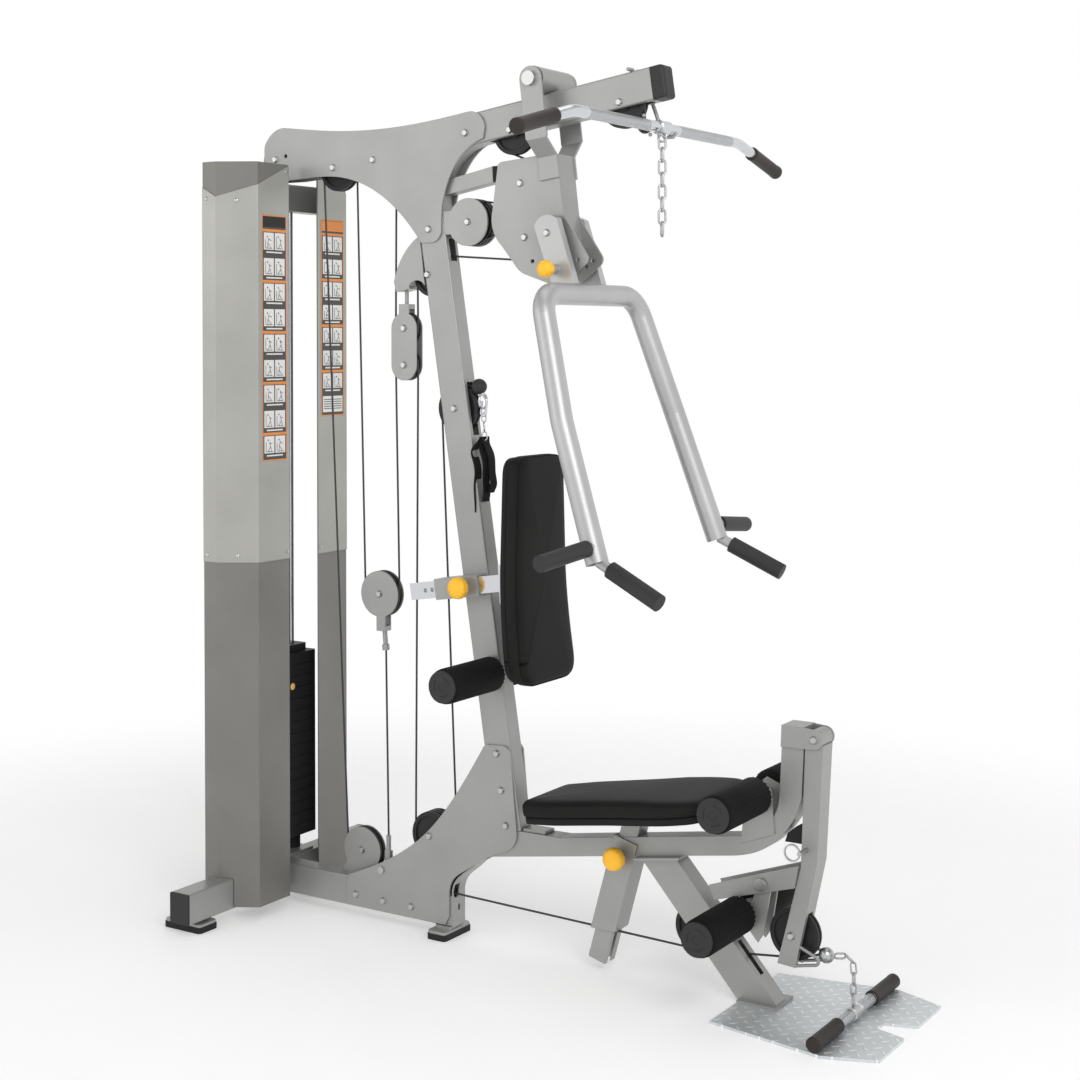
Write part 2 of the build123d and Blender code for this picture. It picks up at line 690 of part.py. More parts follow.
# ---- plastic and rubber ends ----------------------------------------------------------------
with BuildPart() as bumpers:
    for x, y in rod_points:                                                 # under the plates
        with BuildSketch(Plane.XY.offset(rod_bottom)):
            with Locations((x, y)):
                Circle(24)
                Circle(rod_radius + 0.1, mode=Mode.SUBTRACT)
        extrude(amount=stack_bottom - 0.2 - rod_bottom)
    with BuildSketch(Plane.XZ) as press_rest:
        Polygon((142.6, 1818.2), (162, 1818), (167, 1856), (140.2, 1856), align=None)
    extrude(amount=16, both=True)
    with BuildSketch(Plane.XZ) as lever_rest:
        Polygon((898, 366), (940, 366), (941.2, 400), (924, 402), (905, 386), align=None)
    extrude(amount=14, both=True)
bumpers.part.label = "bumpers"
export_step(bumpers.part, "parts/bumpers.step")

with BuildPart() as end_caps:
    with BuildSketch(boom_plane):
        RectangleRounded(tube_width, tube_depth, 5)
    extrude(amount=34)
    fillet(end_caps.faces().sort_by(Axis.X)[-1].edges(), 9)
    for side in (-1, 1):
        end_face = Plane(
            origin=(stabilizer_x, side * stabilizer_half, base_bottom + tube_depth / 2),
            x_dir=(1, 0, 0), z_dir=(0, side, 0),
        )
        with BuildSketch(end_face):
            RectangleRounded(stabilizer_width, tube_depth, 4)
        extrude(amount=5)
    for x, y, z, radius in ((lat_end[0], 0, 1926, 17), (90, 0, 1334, 19)):  # cable stops
        with Locations((x, y, z)):
            Sphere(radius)
end_caps.part.label = "end_caps"
export_step(end_caps.part, "parts/end_caps.step")

# ---- shrouds round the stack ----------------------------------------------------------------
shroud_outline = [(-455, 57), (-455, 172), (-545, 225), (-588, 225)]
shroud_bottom = 33
shroud_top = 1886
overlay_bottom = 893


def sheet(outline, thickness, side, bottom, top, outward=False):
    """A bent sheet along this plan outline, standing between two heights."""
    hand = Side.LEFT if (side > 0) != outward else Side.RIGHT
    with BuildSketch(Plane.XY.offset(bottom)) as plan:
        with BuildLine():
            line = Polyline(*[(x, side * y) for x, y in outline])
            offset(line, amount=thickness, side=hand)
        make_face()
    extrude(plan.sketch, amount=top - bottom)


with BuildPart() as stack_shrouds:
    for side in (-1, 1):
        sheet(shroud_outline, 3, side, shroud_bottom, shroud_top)
    with BuildSketch(Plane.XZ) as notch:
        with Locations((stabilizer_x, 60)):
            Rectangle(stabilizer_width + 2, 88)
    extrude(amount=400, both=True, mode=Mode.SUBTRACT)
stack_shrouds.part.label = "stack_shrouds"
export_step(stack_shrouds.part, "parts/stack_shrouds.step")

with BuildPart() as shroud_overlays:
    for side in (-1, 1):
        sheet(shroud_outline, 2, side, overlay_bottom, 1884, outward=True)
        with BuildSketch(Plane.YZ.offset(-460)):
            Polygon((side * 57, 1883), (side * 180, 1826), (side * 180, 1890),
                    (side * 57, 1890), align=None)
        extrude(amount=20, mode=Mode.SUBTRACT)
    with BuildSketch(Plane.XZ) as top_cut:
        Polygon((-457, 1829), (-545, 1800), (-592, 1827), (-592, 1890), (-457, 1890), align=None)
    extrude(amount=400, both=True, mode=Mode.SUBTRACT)
    for y, low, high in ((-114, 1144, 1756), (114, 1248, 1757)):
        with BuildSketch(Plane.YZ.offset(-453)):
            with Locations((y, (low + high) / 2)):
                RectangleRounded(92, high - low, 4)
        extrude(amount=1)
shroud_overlays.part.label = "shroud_overlays"
export_step(shroud_overlays.part, "parts/shroud_overlays.step")

# ---- press arm ------------------------------------------------------------------------------
tube_half = 36
strap_inner = 74
strap_thickness = 6
adjust_radius = 87
pin_angle = -74.7
pop_pin = (
    adjuster[0] + adjust_radius * cos(radians(pin_angle)),
    adjuster[1] + adjust_radius * sin(radians(pin_angle)),
)
with BuildPart() as press_arm:
    with BuildSketch(arm_side, mode=Mode.PRIVATE) as strap:
        Circle(28.5)
        with Locations((0, -69)):
            Rectangle(57, 138)
    side_plates(strap.sketch, inner=strap_inner, thickness=strap_thickness)
    for side in (-1, 1):
        with BuildSketch(arm_front):
            Polygon((side * 74, -130), (side * 80, -130), (side * 80, -140), (side * 42, -178),
                    (side * 42, -230), (side * 36, -230), (side * 36, -176), (side * 74, -138),
                    align=None)
        extrude(amount=26, both=True)
    with BuildSketch(arm_side) as upright:
        with Locations((0, -283)):
            Rectangle(47, 216)
    extrude(amount=tube_half, both=True)
    with BuildSketch(arm_side, mode=Mode.PRIVATE) as inside:
        with Locations((0, -283)):
            Rectangle(41, 220)
    extrude(inside.sketch, amount=tube_half - 5, both=True, mode=Mode.SUBTRACT)
    with BuildSketch(Plane.XZ, mode=Mode.PRIVATE) as sector:
        with BuildLine():
            Polyline((290, 1876), (272, 1871), (176, 1862), (168, 1856), (153, 1751))
            ThreePointArc((153, 1751), (154, 1704), (178, 1667))
            Line((178, 1667), (215, 1622))
            ThreePointArc((215, 1622), (231, 1605), (250, 1596))
            Line((250, 1596), (300, 1579))
            ThreePointArc((300, 1579), (338, 1574), (370, 1588))
            Line((370, 1588), (408, 1618))
            ThreePointArc((408, 1618), (414, 1628), (412, 1640))
            Polyline((412, 1640), (343, 1741), (322, 1850), (290, 1876))
        make_face()
    side_plates(sector.sketch, inner=31)
    drill([pivot], radius=shaft_radius + bolt_clearance)
    drill([(wheel[0], wheel[2]) for wheel in (sector_upper, sector_lower)] + [adjuster])
    angles = [pin_angle + step for step in (-60, -45, -30, -15, 0, 15, 30)]
    drill([(adjuster[0] + adjust_radius * cos(radians(a)),
            adjuster[1] + adjust_radius * sin(radians(a))) for a in angles], radius=5.1)
press_arm.part.label = "press_arm"
export_step(press_arm.part, "parts/press_arm.step")

for name, wheel in {"sector_upper_wheel": sector_upper, "sector_lower_wheel": sector_lower}.items():
    piece = pulley(wheel)
    piece.label = name
    export_step(piece, f"parts/{name}.step")

with BuildPart() as press_bolts:
    axle((sector_upper[0], sector_upper[2]), 36, 31)
    axle((sector_lower[0], sector_lower[2]), 36, 31)
    rod_along_y(pivot, shaft_radius, -86, 86)
    for side in (-1, 1):
        rod_along_y(pivot, 17, side * 80, side * 90)
        rod_along_y(adjuster, 12, side * 36, side * 49.8)
    bolt(adjuster, 71)
press_bolts.part.label = "press_bolts"
export_step(press_bolts.part, "parts/press_bolts.step")

handle_radius = 25
bar_radius = 12
with BuildPart() as press_handles:
    with BuildLine() as bow:
        FilletPolyline(
            (585, -278, 972), (482, -255, 1270), (398, -208, 1549), (398, 208, 1549),
            (482, 255, 1270), (585, 278, 972), radius=62,
        )
    with BuildSketch(Plane(origin=bow.line @ 0, z_dir=bow.line % 0)):
        Circle(handle_radius)
        Circle(handle_radius - tube_wall, mode=Mode.SUBTRACT)
    sweep(path=bow.wires()[0])
    with BuildSketch(Plane.XZ, mode=Mode.PRIVATE) as cheeks:
        with BuildLine():
            Polyline((403, 1567), (352, 1724), (337, 1731))
            ThreePointArc((337, 1731), (309, 1727), (291, 1706))
            Polyline((291, 1706), (337, 1578), (385, 1556), (403, 1567))
        make_face()
    side_plates(cheeks.sketch, inner=50, thickness=21)
    drill([adjuster, pop_pin])
    for side in (-1, 1):
        rod_between((578, side * 276, 1009), (564, side * 463, 991), bar_radius)
        rod_between((590, side * 279, 976), (738, side * 296, 906), bar_radius)
    rod_between((pop_pin[0], -71, pop_pin[1]), (pop_pin[0], -95, pop_pin[1]), 12)
    drill([pop_pin], radius=5.1, reach=110)
press_handles.part.label = "press_handles"
export_step(press_handles.part, "parts/press_handles.step")

with BuildPart() as handle_grips:
    for side in (-1, 1):
        rod_between((575.6, side * 308, 1006), (563.4, side * 471, 990.3), 18)
        rod_between((620, side * 282.4, 961.9), (745, side * 296.8, 902.7), 19)
        for start, end in (
            ((578, side * 276, 1009), (564, side * 463.3, 991)),
            ((590, side * 279, 976), (738.3, side * 296, 906)),
        ):
            run = Vector(*end) - Vector(*start)
            with BuildSketch(Plane(origin=start, z_dir=run), mode=Mode.PRIVATE) as bore:
                Circle(bar_radius + 0.3)
            extrude(bore.sketch, amount=run.length, mode=Mode.SUBTRACT)
handle_grips.part.label = "handle_grips"
export_step(handle_grips.part, "parts/handle_grips.step")


def pop_knob(centre, face, tip, barrel, ball):
    """A pull pin along Y with a round knob, from y = tip out past y = face."""
    rod_along_y(centre, bolt_radius, tip, face - barrel)
    with BuildSketch(Plane(origin=(centre[0], face - barrel, centre[1]), z_dir=(0, -1, 0))) as grip:
        Circle(ball * 0.62)
    extrude(grip.sketch, amount=9)
    with BuildSketch(Plane(origin=(centre[0], face - barrel - 9, centre[1]),
                           z_dir=(0, -1, 0))) as grip:
        Circle(ball)
    extrude(grip.sketch, amount=22)


with BuildPart() as press_knob:
    pop_knob(pop_pin, -71, -36.3, 25, 20)
press_knob.part.label = "press_knob"
export_step(press_knob.part, "parts/press_knob.step")

# ---- seat rail, support leg and foot plate --------------------------------------------------
plate_top = 6
with BuildPart() as seat_rail:
    with BuildSketch(Plane.XZ) as rail:
        with BuildLine():
            Line((139, 217), (334, 248))
            Line((334, 248), (777, 319))
            Spline((777, 319), (824, 331), (878, 363), (918, 410), (941, 467),
                   tangents=[(1, 0.16), (0.3, 1)])
            Line((941, 467), (946, 574))
            Line((946, 574), (895, 574))
            Line((895, 574), (891, 485))
            Spline((891, 485), (882, 430), (846, 383), (777, 362),
                   tangents=[(-0.05, -1), (-1, -0.16)])
            Polyline((777, 362), (334, 291), (225.5, 289.8), (151, 278.3), (139, 217))
        make_face()
    extrude(amount=tube_width / 2, both=True)
    with BuildSketch(Plane.XZ, mode=Mode.PRIVATE) as core:
        with BuildLine():
            Line((150, 221.5), (334, 251))
            Line((334, 251), (777, 322))
            Spline((777, 322), (823, 334), (876, 366), (915.5, 411), (938, 467),
                   tangents=[(1, 0.16), (0.3, 1)])
            Line((938, 467), (943, 571))
            Line((943, 571), (898, 571))
            Line((898, 571), (894, 485))
            Spline((894, 485), (884, 428), (847, 380), (777, 359),
                   tangents=[(-0.05, -1), (-1, -0.16)])
            Polyline((777, 359), (334, 288), (226, 286.5), (158, 276), (150, 221.5))
        make_face()
    extrude(core.sketch, amount=22.5, both=True, mode=Mode.SUBTRACT)
    with BuildSketch(Plane.XZ) as hinge_block:
        Polygon((895, 574), (897, 621), (948, 621), (946, 574), align=None)
    extrude(amount=31, both=True)
    with BuildSketch(Plane.XZ, mode=Mode.PRIVATE) as ears:
        with BuildLine():
            Polyline((930, 621), (972, 618))
            ThreePointArc((972, 618), (993, 597), (972, 576))
            Polyline((972, 576), (930, 574), (930, 621))
        make_face()
    side_plates(ears.sketch, inner=26)
    with BuildSketch(Plane.XZ, mode=Mode.PRIVATE) as roller_bracket:
        Polygon((800, 350), (880, 382), (872, 476), (836, 490), (812, 470), align=None)
    side_plates(roller_bracket.sketch, inner=25, thickness=4)
    drill([seat_roller], radius=shaft_radius + bolt_clearance)
    with BuildSketch(Plane.XZ) as rear_lug:
        Polygon((229, 290), (290, 291), (290, 298), (229, 297), align=None)
    extrude(amount=20, both=True)
    with BuildSketch(post_plane.offset(70)) as collar:                      # seat post sleeve
        Rectangle(62, 60)
    extrude(collar.sketch, amount=231)
    with BuildSketch(post_plane.offset(60), mode=Mode.PRIVATE) as bore:
        Rectangle(45.4, 45.4)
    extrude(bore.sketch, amount=260, mode=Mode.SUBTRACT)
    drill([gusset_bolts[2], lever_pivot])
    with BuildSketch(Plane.XZ, mode=Mode.PRIVATE) as cable_way:
        Polygon((400, 60), (530, 60), (530, 99), (400, 99), align=None)
    extrude(cable_way.sketch, amount=40, both=True, mode=Mode.SUBTRACT)
    with BuildSketch(Plane.XZ.offset(20), mode=Mode.PRIVATE) as knob_hole:
        with Locations((499, 276)):
            Circle(5.1)
    extrude(knob_hole.sketch, amount=15, mode=Mode.SUBTRACT)
seat_rail.part.label = "seat_rail"
export_step(seat_rail.part, "parts/seat_rail.step")

with BuildPart() as support_leg:
    with BuildSketch(Plane.XZ) as leg:
        Polygon((546, 281.6), (633, 295.6), (889, plate_top), (790, plate_top), align=None)
    extrude(amount=tube_width / 2, both=True)
    with BuildSketch(Plane.XZ, mode=Mode.PRIVATE) as core:
        Polygon((552, 270), (636, 288), (886, plate_top + 3), (796, plate_top + 3), align=None)
    extrude(core.sketch, amount=22.5, both=True, mode=Mode.SUBTRACT)
    with BuildSketch(Plane.XZ, mode=Mode.PRIVATE) as slot:
        with Locations((leg_wheel[0], leg_wheel[2])):
            Circle(60)
        Polygon((600, 60), (600, 140), (690, 140), (690, 80), align=None)
    extrude(slot.sketch, amount=12.5, both=True, mode=Mode.SUBTRACT)
    with BuildSketch(Plane.XZ, mode=Mode.PRIVATE) as exit_slot:
        Polygon((700, 80), (860, 60), (860, 130), (740, 125), align=None)
    extrude(exit_slot.sketch, amount=8, both=True, mode=Mode.SUBTRACT)
    with BuildSketch(Plane.XZ, mode=Mode.PRIVATE) as flange:
        Polygon((540, 274.5), (655, 293), (655, 299.3), (540, 280.9), align=None)
    extrude(flange.sketch, amount=45, both=True)
    drill([(leg_wheel[0], leg_wheel[2])])
    drill([(leg_wheel[0], leg_wheel[2])], radius=9.5, reach=22.45)
    with BuildSketch(Plane.XY.offset(plate_top), mode=Mode.PRIVATE) as toe:
        with Locations((845, 0)):
            Rectangle(94, 90)
    extrude(toe.sketch, amount=5)
    split(bisect_by=Plane(origin=(334, 0, 247.8), z_dir=(-0.1583, 0, 0.9874)), keep=Keep.BOTTOM)
support_leg.part.label = "support_leg"
export_step(support_leg.part, "parts/support_leg.step")

with BuildPart() as foot_plate:
    with BuildSketch(Plane.XY):
        Polygon((798, 171), (1070, 217), (1180, 175), (1180, 40), (1165, 34), (1111, 19),
                (1111, -19), (1165, -34), (1180, -40), (1180, -175), (1070, -217),
                (798, -171), align=None)
    extrude(amount=plate_top)
foot_plate.part.label = "foot_plate"
export_step(foot_plate.part, "parts/foot_plate.step")

# ---- seat -----------------------------------------------------------------------------------
with BuildPart() as seat_post:
    with BuildSketch(post_plane):
        Rectangle(45, 45)
        Rectangle(40, 40, mode=Mode.SUBTRACT)
    extrude(amount=420)
    split(bisect_by=seat_plan, keep=Keep.BOTTOM)
    with BuildSketch(Plane.YZ.offset(380), mode=Mode.PRIVATE) as cable_slot:
        with Locations((-4, 50)):
            Rectangle(15, 110)
    extrude(cable_slot.sketch, amount=150, mode=Mode.SUBTRACT)
    with BuildSketch(seat_plan.offset(-5), mode=Mode.PRIVATE) as carrier:
        with Locations((245, 0)):
            Rectangle(200, 90)
    extrude(carrier.sketch, amount=5)
    for i in range(7):
        with BuildSketch(Plane.XZ.offset(15), mode=Mode.PRIVATE) as pin_hole:
            with Locations((499 - i * 25 * sin(radians(post_lean)),
                            276 - i * 25 * cos(radians(post_lean)))):
                Circle(5.1)
        extrude(pin_hole.sketch, amount=15, mode=Mode.SUBTRACT)
seat_post.part.label = "seat_post"
export_step(seat_post.part, "parts/seat_post.step")

with BuildPart() as seat_pad:
    with BuildSketch(seat_plan) as plan:
        with BuildLine():
            Line((0, -92), (0, 92))
            Spline((0, 92), (40, 118), (200, 128), (380, 152), (455, 146), (487, 105),
                   tangents=[(0.2, 1), (0.1, -1)])
            ThreePointArc((487, 105), (492, 0), (487, -105))
            Spline((487, -105), (455, -146), (380, -152), (200, -128), (40, -118), (0, -92),
                   tangents=[(-0.1, -1), (-0.2, 1)])
        make_face()
    extrude(amount=62)
    with BuildSketch(seat_side, mode=Mode.PRIVATE) as top_line:
        Polygon((-10, 68), (0, 58), (120, 59.5), (300, 61), (400, 59), (470, 50), (500, 40),
                (500, 80), align=None)
    extrude(top_line.sketch, amount=200, both=True, mode=Mode.SUBTRACT)
seat_pad.part.label = "seat_pad"
export_step(seat_pad.part, "parts/seat_pad.step")

with BuildPart() as seat_knob:
    pop_knob((499, 276), -31, -22.9, 15, 26)
seat_knob.part.label = "seat_knob"
export_step(seat_knob.part, "parts/seat_knob.step")

# ---- back pad -------------------------------------------------------------------------------
with BuildPart() as back_tube:
    with BuildSketch(mast_side.offset(50), mode=Mode.PRIVATE) as shank:
        with Locations((-31, -37)):
            Rectangle(264, 40)
    extrude(shank.sketch, amount=20, both=True)
    for i in range(7):
        with BuildSketch(mast_side.offset(60), mode=Mode.PRIVATE) as pin_hole:
            with Locations((1 - i * 20, -37)):
                Circle(5.1)
        extrude(pin_hole.sketch, amount=15, mode=Mode.SUBTRACT)
    with BuildSketch(Plane.XZ, mode=Mode.PRIVATE) as mount:
        Polygon((196, 830), (221, 826), (219, 925), (190, 921), align=None)
    extrude(mount.sketch, amount=70, both=True)
back_tube.part.label = "back_tube"
export_step(back_tube.part, "parts/back_tube.step")

with BuildPart() as back_pad:
    with BuildSketch(Plane.XZ) as profile:
        with BuildLine():
            Line((209, 1177), (262, 1177))
            ThreePointArc((262, 1177), (274, 1172), (279, 1158))
            Spline((279, 1158), (281, 919), (303, 668), tangents=[(0, -1), (0.14, -1)])
            ThreePointArc((303, 668), (301, 651), (288, 645))
            Line((288, 645), (257, 645))
            Line((257, 645), (222, 825))
            Spline((222, 825), (220, 930), (209, 1177), tangents=[(-0.05, 1), (-0.06, 1)])
        make_face()
    extrude(amount=125, both=True)
    with BuildSketch(Plane.YZ.offset(180), mode=Mode.PRIVATE) as front_view:
        Rectangle(400, 3000)
        Polygon((-120, 655), (-108, 645), (108, 645), (120, 655), (98, 1160), (84, 1177),
                (-84, 1177), (-98, 1160), align=None, mode=Mode.SUBTRACT)
    extrude(front_view.sketch, amount=200, mode=Mode.SUBTRACT)
back_pad.part.label = "back_pad"
export_step(back_pad.part, "parts/back_pad.step")

knob_x = mast_point[0] + cos(radians(mast_lean)) + 37 * sin(radians(mast_lean))
knob_z = mast_point[1] + sin(radians(mast_lean)) - 37 * cos(radians(mast_lean))
with BuildPart() as back_knob:
    pop_knob((knob_x, knob_z), -75, -70.25, 13, 26)
back_knob.part.label = "back_knob"
export_step(back_knob.part, "parts/back_knob.step")

# ---- leg lever ------------------------------------------------------------------------------
with BuildPart() as leg_lever:
    with BuildSketch(Plane.XZ) as lever:
        Polygon((949.5, 585), (991, 585), (990, 570), (978, 333), (928, 100), (886, 103),
                (940.5, 319), (949.5, 570), align=None)
    extrude(amount=tube_width / 2, both=True)
    rod_along_y(lever_pivot, 20, -25, 25)
    with BuildSketch(Plane.XZ, mode=Mode.PRIVATE) as core:
        Polygon((952.5, 560), (987, 560), (975, 334), (926, 108), (889, 108),
                (943.5, 319), align=None)
    extrude(core.sketch, amount=22.5, both=True, mode=Mode.SUBTRACT)
    with BuildSketch(Plane.XZ, mode=Mode.PRIVATE) as slot:
        with Locations((lever_wheel[0], lever_wheel[2])):
            Circle(61)
        Polygon((918, 167), (860, 150), (860, 60), (1000, 60), (1000, 167), align=None)
    extrude(slot.sketch, amount=12.5, both=True, mode=Mode.SUBTRACT)
    with BuildSketch(Plane.XZ, mode=Mode.PRIVATE) as arms:
        Polygon((723, 247), (937, 322), (928, 273), (736, 216), align=None)
    side_plates(arms.sketch, inner=25)
    drill([roller_arm_pivot, (lever_wheel[0], lever_wheel[2]), (953, 358), lever_pivot])
    for side in (-1, 1):
        with BuildLine() as loop:
            FilletPolyline((931, side * 20, 148), (1001, side * 20, 119), (926, side * 20, 103),
                           radius=9)
        with BuildSketch(Plane(origin=loop.line @ 0, z_dir=loop.line % 0)):
            Circle(3.5)
        sweep(path=loop.wires()[0])
leg_lever.part.label = "leg_lever"
export_step(leg_lever.part, "parts/leg_lever.step")

with BuildPart() as roller_arm:
    with BuildSketch(Plane.XZ, mode=Mode.PRIVATE) as hanger:
        with BuildLine():
            Polyline((870, 270), (852, 160), (838, 138), (810, 170))
            Polyline((810, 170), (790, 180))
            ThreePointArc((790, 180), (781, 197), (790, 214))
            Polyline((790, 214), (826, 228), (834, 270))
            ThreePointArc((834, 270), (852, 288), (870, 270))
        make_face()
    side_plates(hanger.sketch, inner=16, thickness=6)
    drill([roller_arm_pivot], radius=8.06)
    rod_along_y(lever_roller, shaft_radius, -roller_outer + 1, roller_outer - 1)
roller_arm.part.label = "roller_arm"
export_step(roller_arm.part, "parts/roller_arm.step")

with BuildPart() as lever_bolts:
    axle((lever_wheel[0], lever_wheel[2]), 25, 22.5)
    rod_along_y(roller_arm_pivot, 5, -36, 36)
    rod_along_y(roller_arm_pivot, 8, -24.8, 24.8)
    for side in (-1, 1):
        rod_along_y(roller_arm_pivot, 14, side * 30, side * 42)
    with Locations((low_end[0] + 17.3, 0, low_end[2] + 2)):
        Sphere(17)
lever_bolts.part.label = "lever_bolts"
export_step(lever_bolts.part, "parts/lever_bolts.step")

with BuildPart() as hitch_pin:
    rod_along_y((953, 358), 5, -62, 20)
    with BuildSketch(Plane.XZ.offset(58)):
        with Locations((936, 358)):
            Circle(19)
            Circle(15.5, mode=Mode.SUBTRACT)
    extrude(amount=3.5)
hitch_pin.part.label = "hitch_pin"
export_step(hitch_pin.part, "parts/hitch_pin.step")


# ---- foam rollers ---------------------------------------------------------------------------
def rollers(centre):
    """A foam roller on each side, turning on one shaft."""
    with BuildPart() as pair:
        for side in (-1, 1):
            with BuildSketch(Plane.XZ.offset(-side * roller_inner)) as ring:
                with Locations(centre):
                    Circle(roller_radius)
                    Circle(shaft_radius + bolt_clearance, mode=Mode.SUBTRACT)
            extrude(ring.sketch, amount=-side * (roller_outer - roller_inner))
            with BuildSketch(Plane.XZ.offset(-side * roller_outer)) as cap:
                with Locations(centre):
                    Circle(roller_radius - 4)
            extrude(cap.sketch, amount=-side * 4)
    return pair.part


for name, centre in {
    "rear_rollers": rear_roller,
    "seat_rollers": seat_roller,
    "lever_rollers": lever_roller,
}.items():
    piece = rollers(centre)
    piece.label = name
    export_step(piece, f"parts/{name}.step")

# ---- bars -----------------------------------------------------------------------------------
bar_seat = (587, 1919.5)
with BuildPart() as lat_bar:
    with BuildLine() as bow:
        FilletPolyline(
            (bar_seat[0], -590, 1866), (bar_seat[0], -380, bar_seat[1]),
            (bar_seat[0], 380, bar_seat[1]), (bar_seat[0], 590, 1866), radius=180,
        )
    with BuildSketch(Plane(origin=bow.line @ 0, z_dir=bow.line % 0)):
        Circle(12.5)
    sweep(path=bow.wires()[0])
    for side in (-1, 1):
        rod_between((bar_seat[0], side * 450, 1901.6), (bar_seat[0], side * 596, 1864.4), 17)
lat_bar.part.label = "lat_bar"
export_step(lat_bar.part, "parts/lat_bar.step")
low_seat = (1053, 22.3)
with BuildPart() as low_bar:
    rod_along_y(low_seat, 12, -215, 225)
    rod_along_y(low_seat, 16, -215, -80)
    rod_along_y(low_seat, 16, 90, 225)
    rod_along_y(low_seat, 15, -20, 10)
low_bar.part.label = "low_bar"
export_step(low_bar.part, "parts/low_bar.step")


with BuildPart() as lat_chain:
    rod_between((bar_seat[0], 0, 1906.8), (bar_seat[0], 0, 1680), 7)
lat_chain.part.label = "lat_chain"
export_step(lat_chain.part, "parts/lat_chain.step")

with BuildPart() as low_chain:
    rod_between((low_seat[0], -5, 134), (low_seat[0], -5, 38), 6)
    rod_between((1007.5, -5, 134), (1056, -5, 136), 6)
low_chain.part.label = "low_chain"
export_step(low_chain.part, "parts/low_chain.step")
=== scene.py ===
"""Looks of the multi station home gym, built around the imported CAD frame.  Metres, +Z up."""
import json
from math import asin, atan2, cos, hypot, pi, radians, sin, tan

import bpy
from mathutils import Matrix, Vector

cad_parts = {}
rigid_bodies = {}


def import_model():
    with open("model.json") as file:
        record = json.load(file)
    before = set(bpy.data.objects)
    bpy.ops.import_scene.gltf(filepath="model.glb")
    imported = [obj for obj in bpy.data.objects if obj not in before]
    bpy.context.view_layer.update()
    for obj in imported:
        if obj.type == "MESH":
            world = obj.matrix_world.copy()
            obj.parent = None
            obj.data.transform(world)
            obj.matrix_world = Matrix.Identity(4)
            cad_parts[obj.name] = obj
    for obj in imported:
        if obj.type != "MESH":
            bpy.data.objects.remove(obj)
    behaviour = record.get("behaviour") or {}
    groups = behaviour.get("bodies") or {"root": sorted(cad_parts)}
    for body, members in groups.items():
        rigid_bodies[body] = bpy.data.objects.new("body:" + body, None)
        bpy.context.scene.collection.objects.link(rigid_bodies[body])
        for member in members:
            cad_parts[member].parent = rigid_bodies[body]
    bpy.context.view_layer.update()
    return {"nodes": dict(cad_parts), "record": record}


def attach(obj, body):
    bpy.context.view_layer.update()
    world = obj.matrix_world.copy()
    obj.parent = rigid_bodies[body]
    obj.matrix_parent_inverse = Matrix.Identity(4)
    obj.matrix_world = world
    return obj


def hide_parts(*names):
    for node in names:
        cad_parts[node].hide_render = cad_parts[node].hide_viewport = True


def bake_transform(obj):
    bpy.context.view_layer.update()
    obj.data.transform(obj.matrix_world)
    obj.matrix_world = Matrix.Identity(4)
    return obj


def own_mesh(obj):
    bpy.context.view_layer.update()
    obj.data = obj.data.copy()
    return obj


for leftover in list(bpy.data.objects):
    bpy.data.objects.remove(leftover)

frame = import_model()
nodes = frame["nodes"]

# ---- the machine's measures that the looks share --------------------------------------------
MAST_LEAN = radians(8.77)
SEAT_SLOPE = radians(9.2)
CABLE = 0.0025
ROLLER = 0.041
WHEEL = 0.053


# ---- materials ------------------------------------------------------------------------------
def new_material(name, color, metallic, roughness):
    """A material with its shader, ready for textures."""
    material = bpy.data.materials.new(name)
    material.use_nodes = True
    tree = material.node_tree
    shader = tree.nodes["Principled BSDF"]
    shader.inputs["Base Color"].default_value = (*color, 1)
    shader.inputs["Metallic"].default_value = metallic
    shader.inputs["Roughness"].default_value = roughness
    return material, tree, shader


def node(tree, kind, **values):
    """A shader node with these inputs or settings."""
    made = tree.nodes.new(kind)
    for key, value in values.items():
        if key in made.inputs:
            made.inputs[key].default_value = value
        else:
            setattr(made, key, value)
    return made


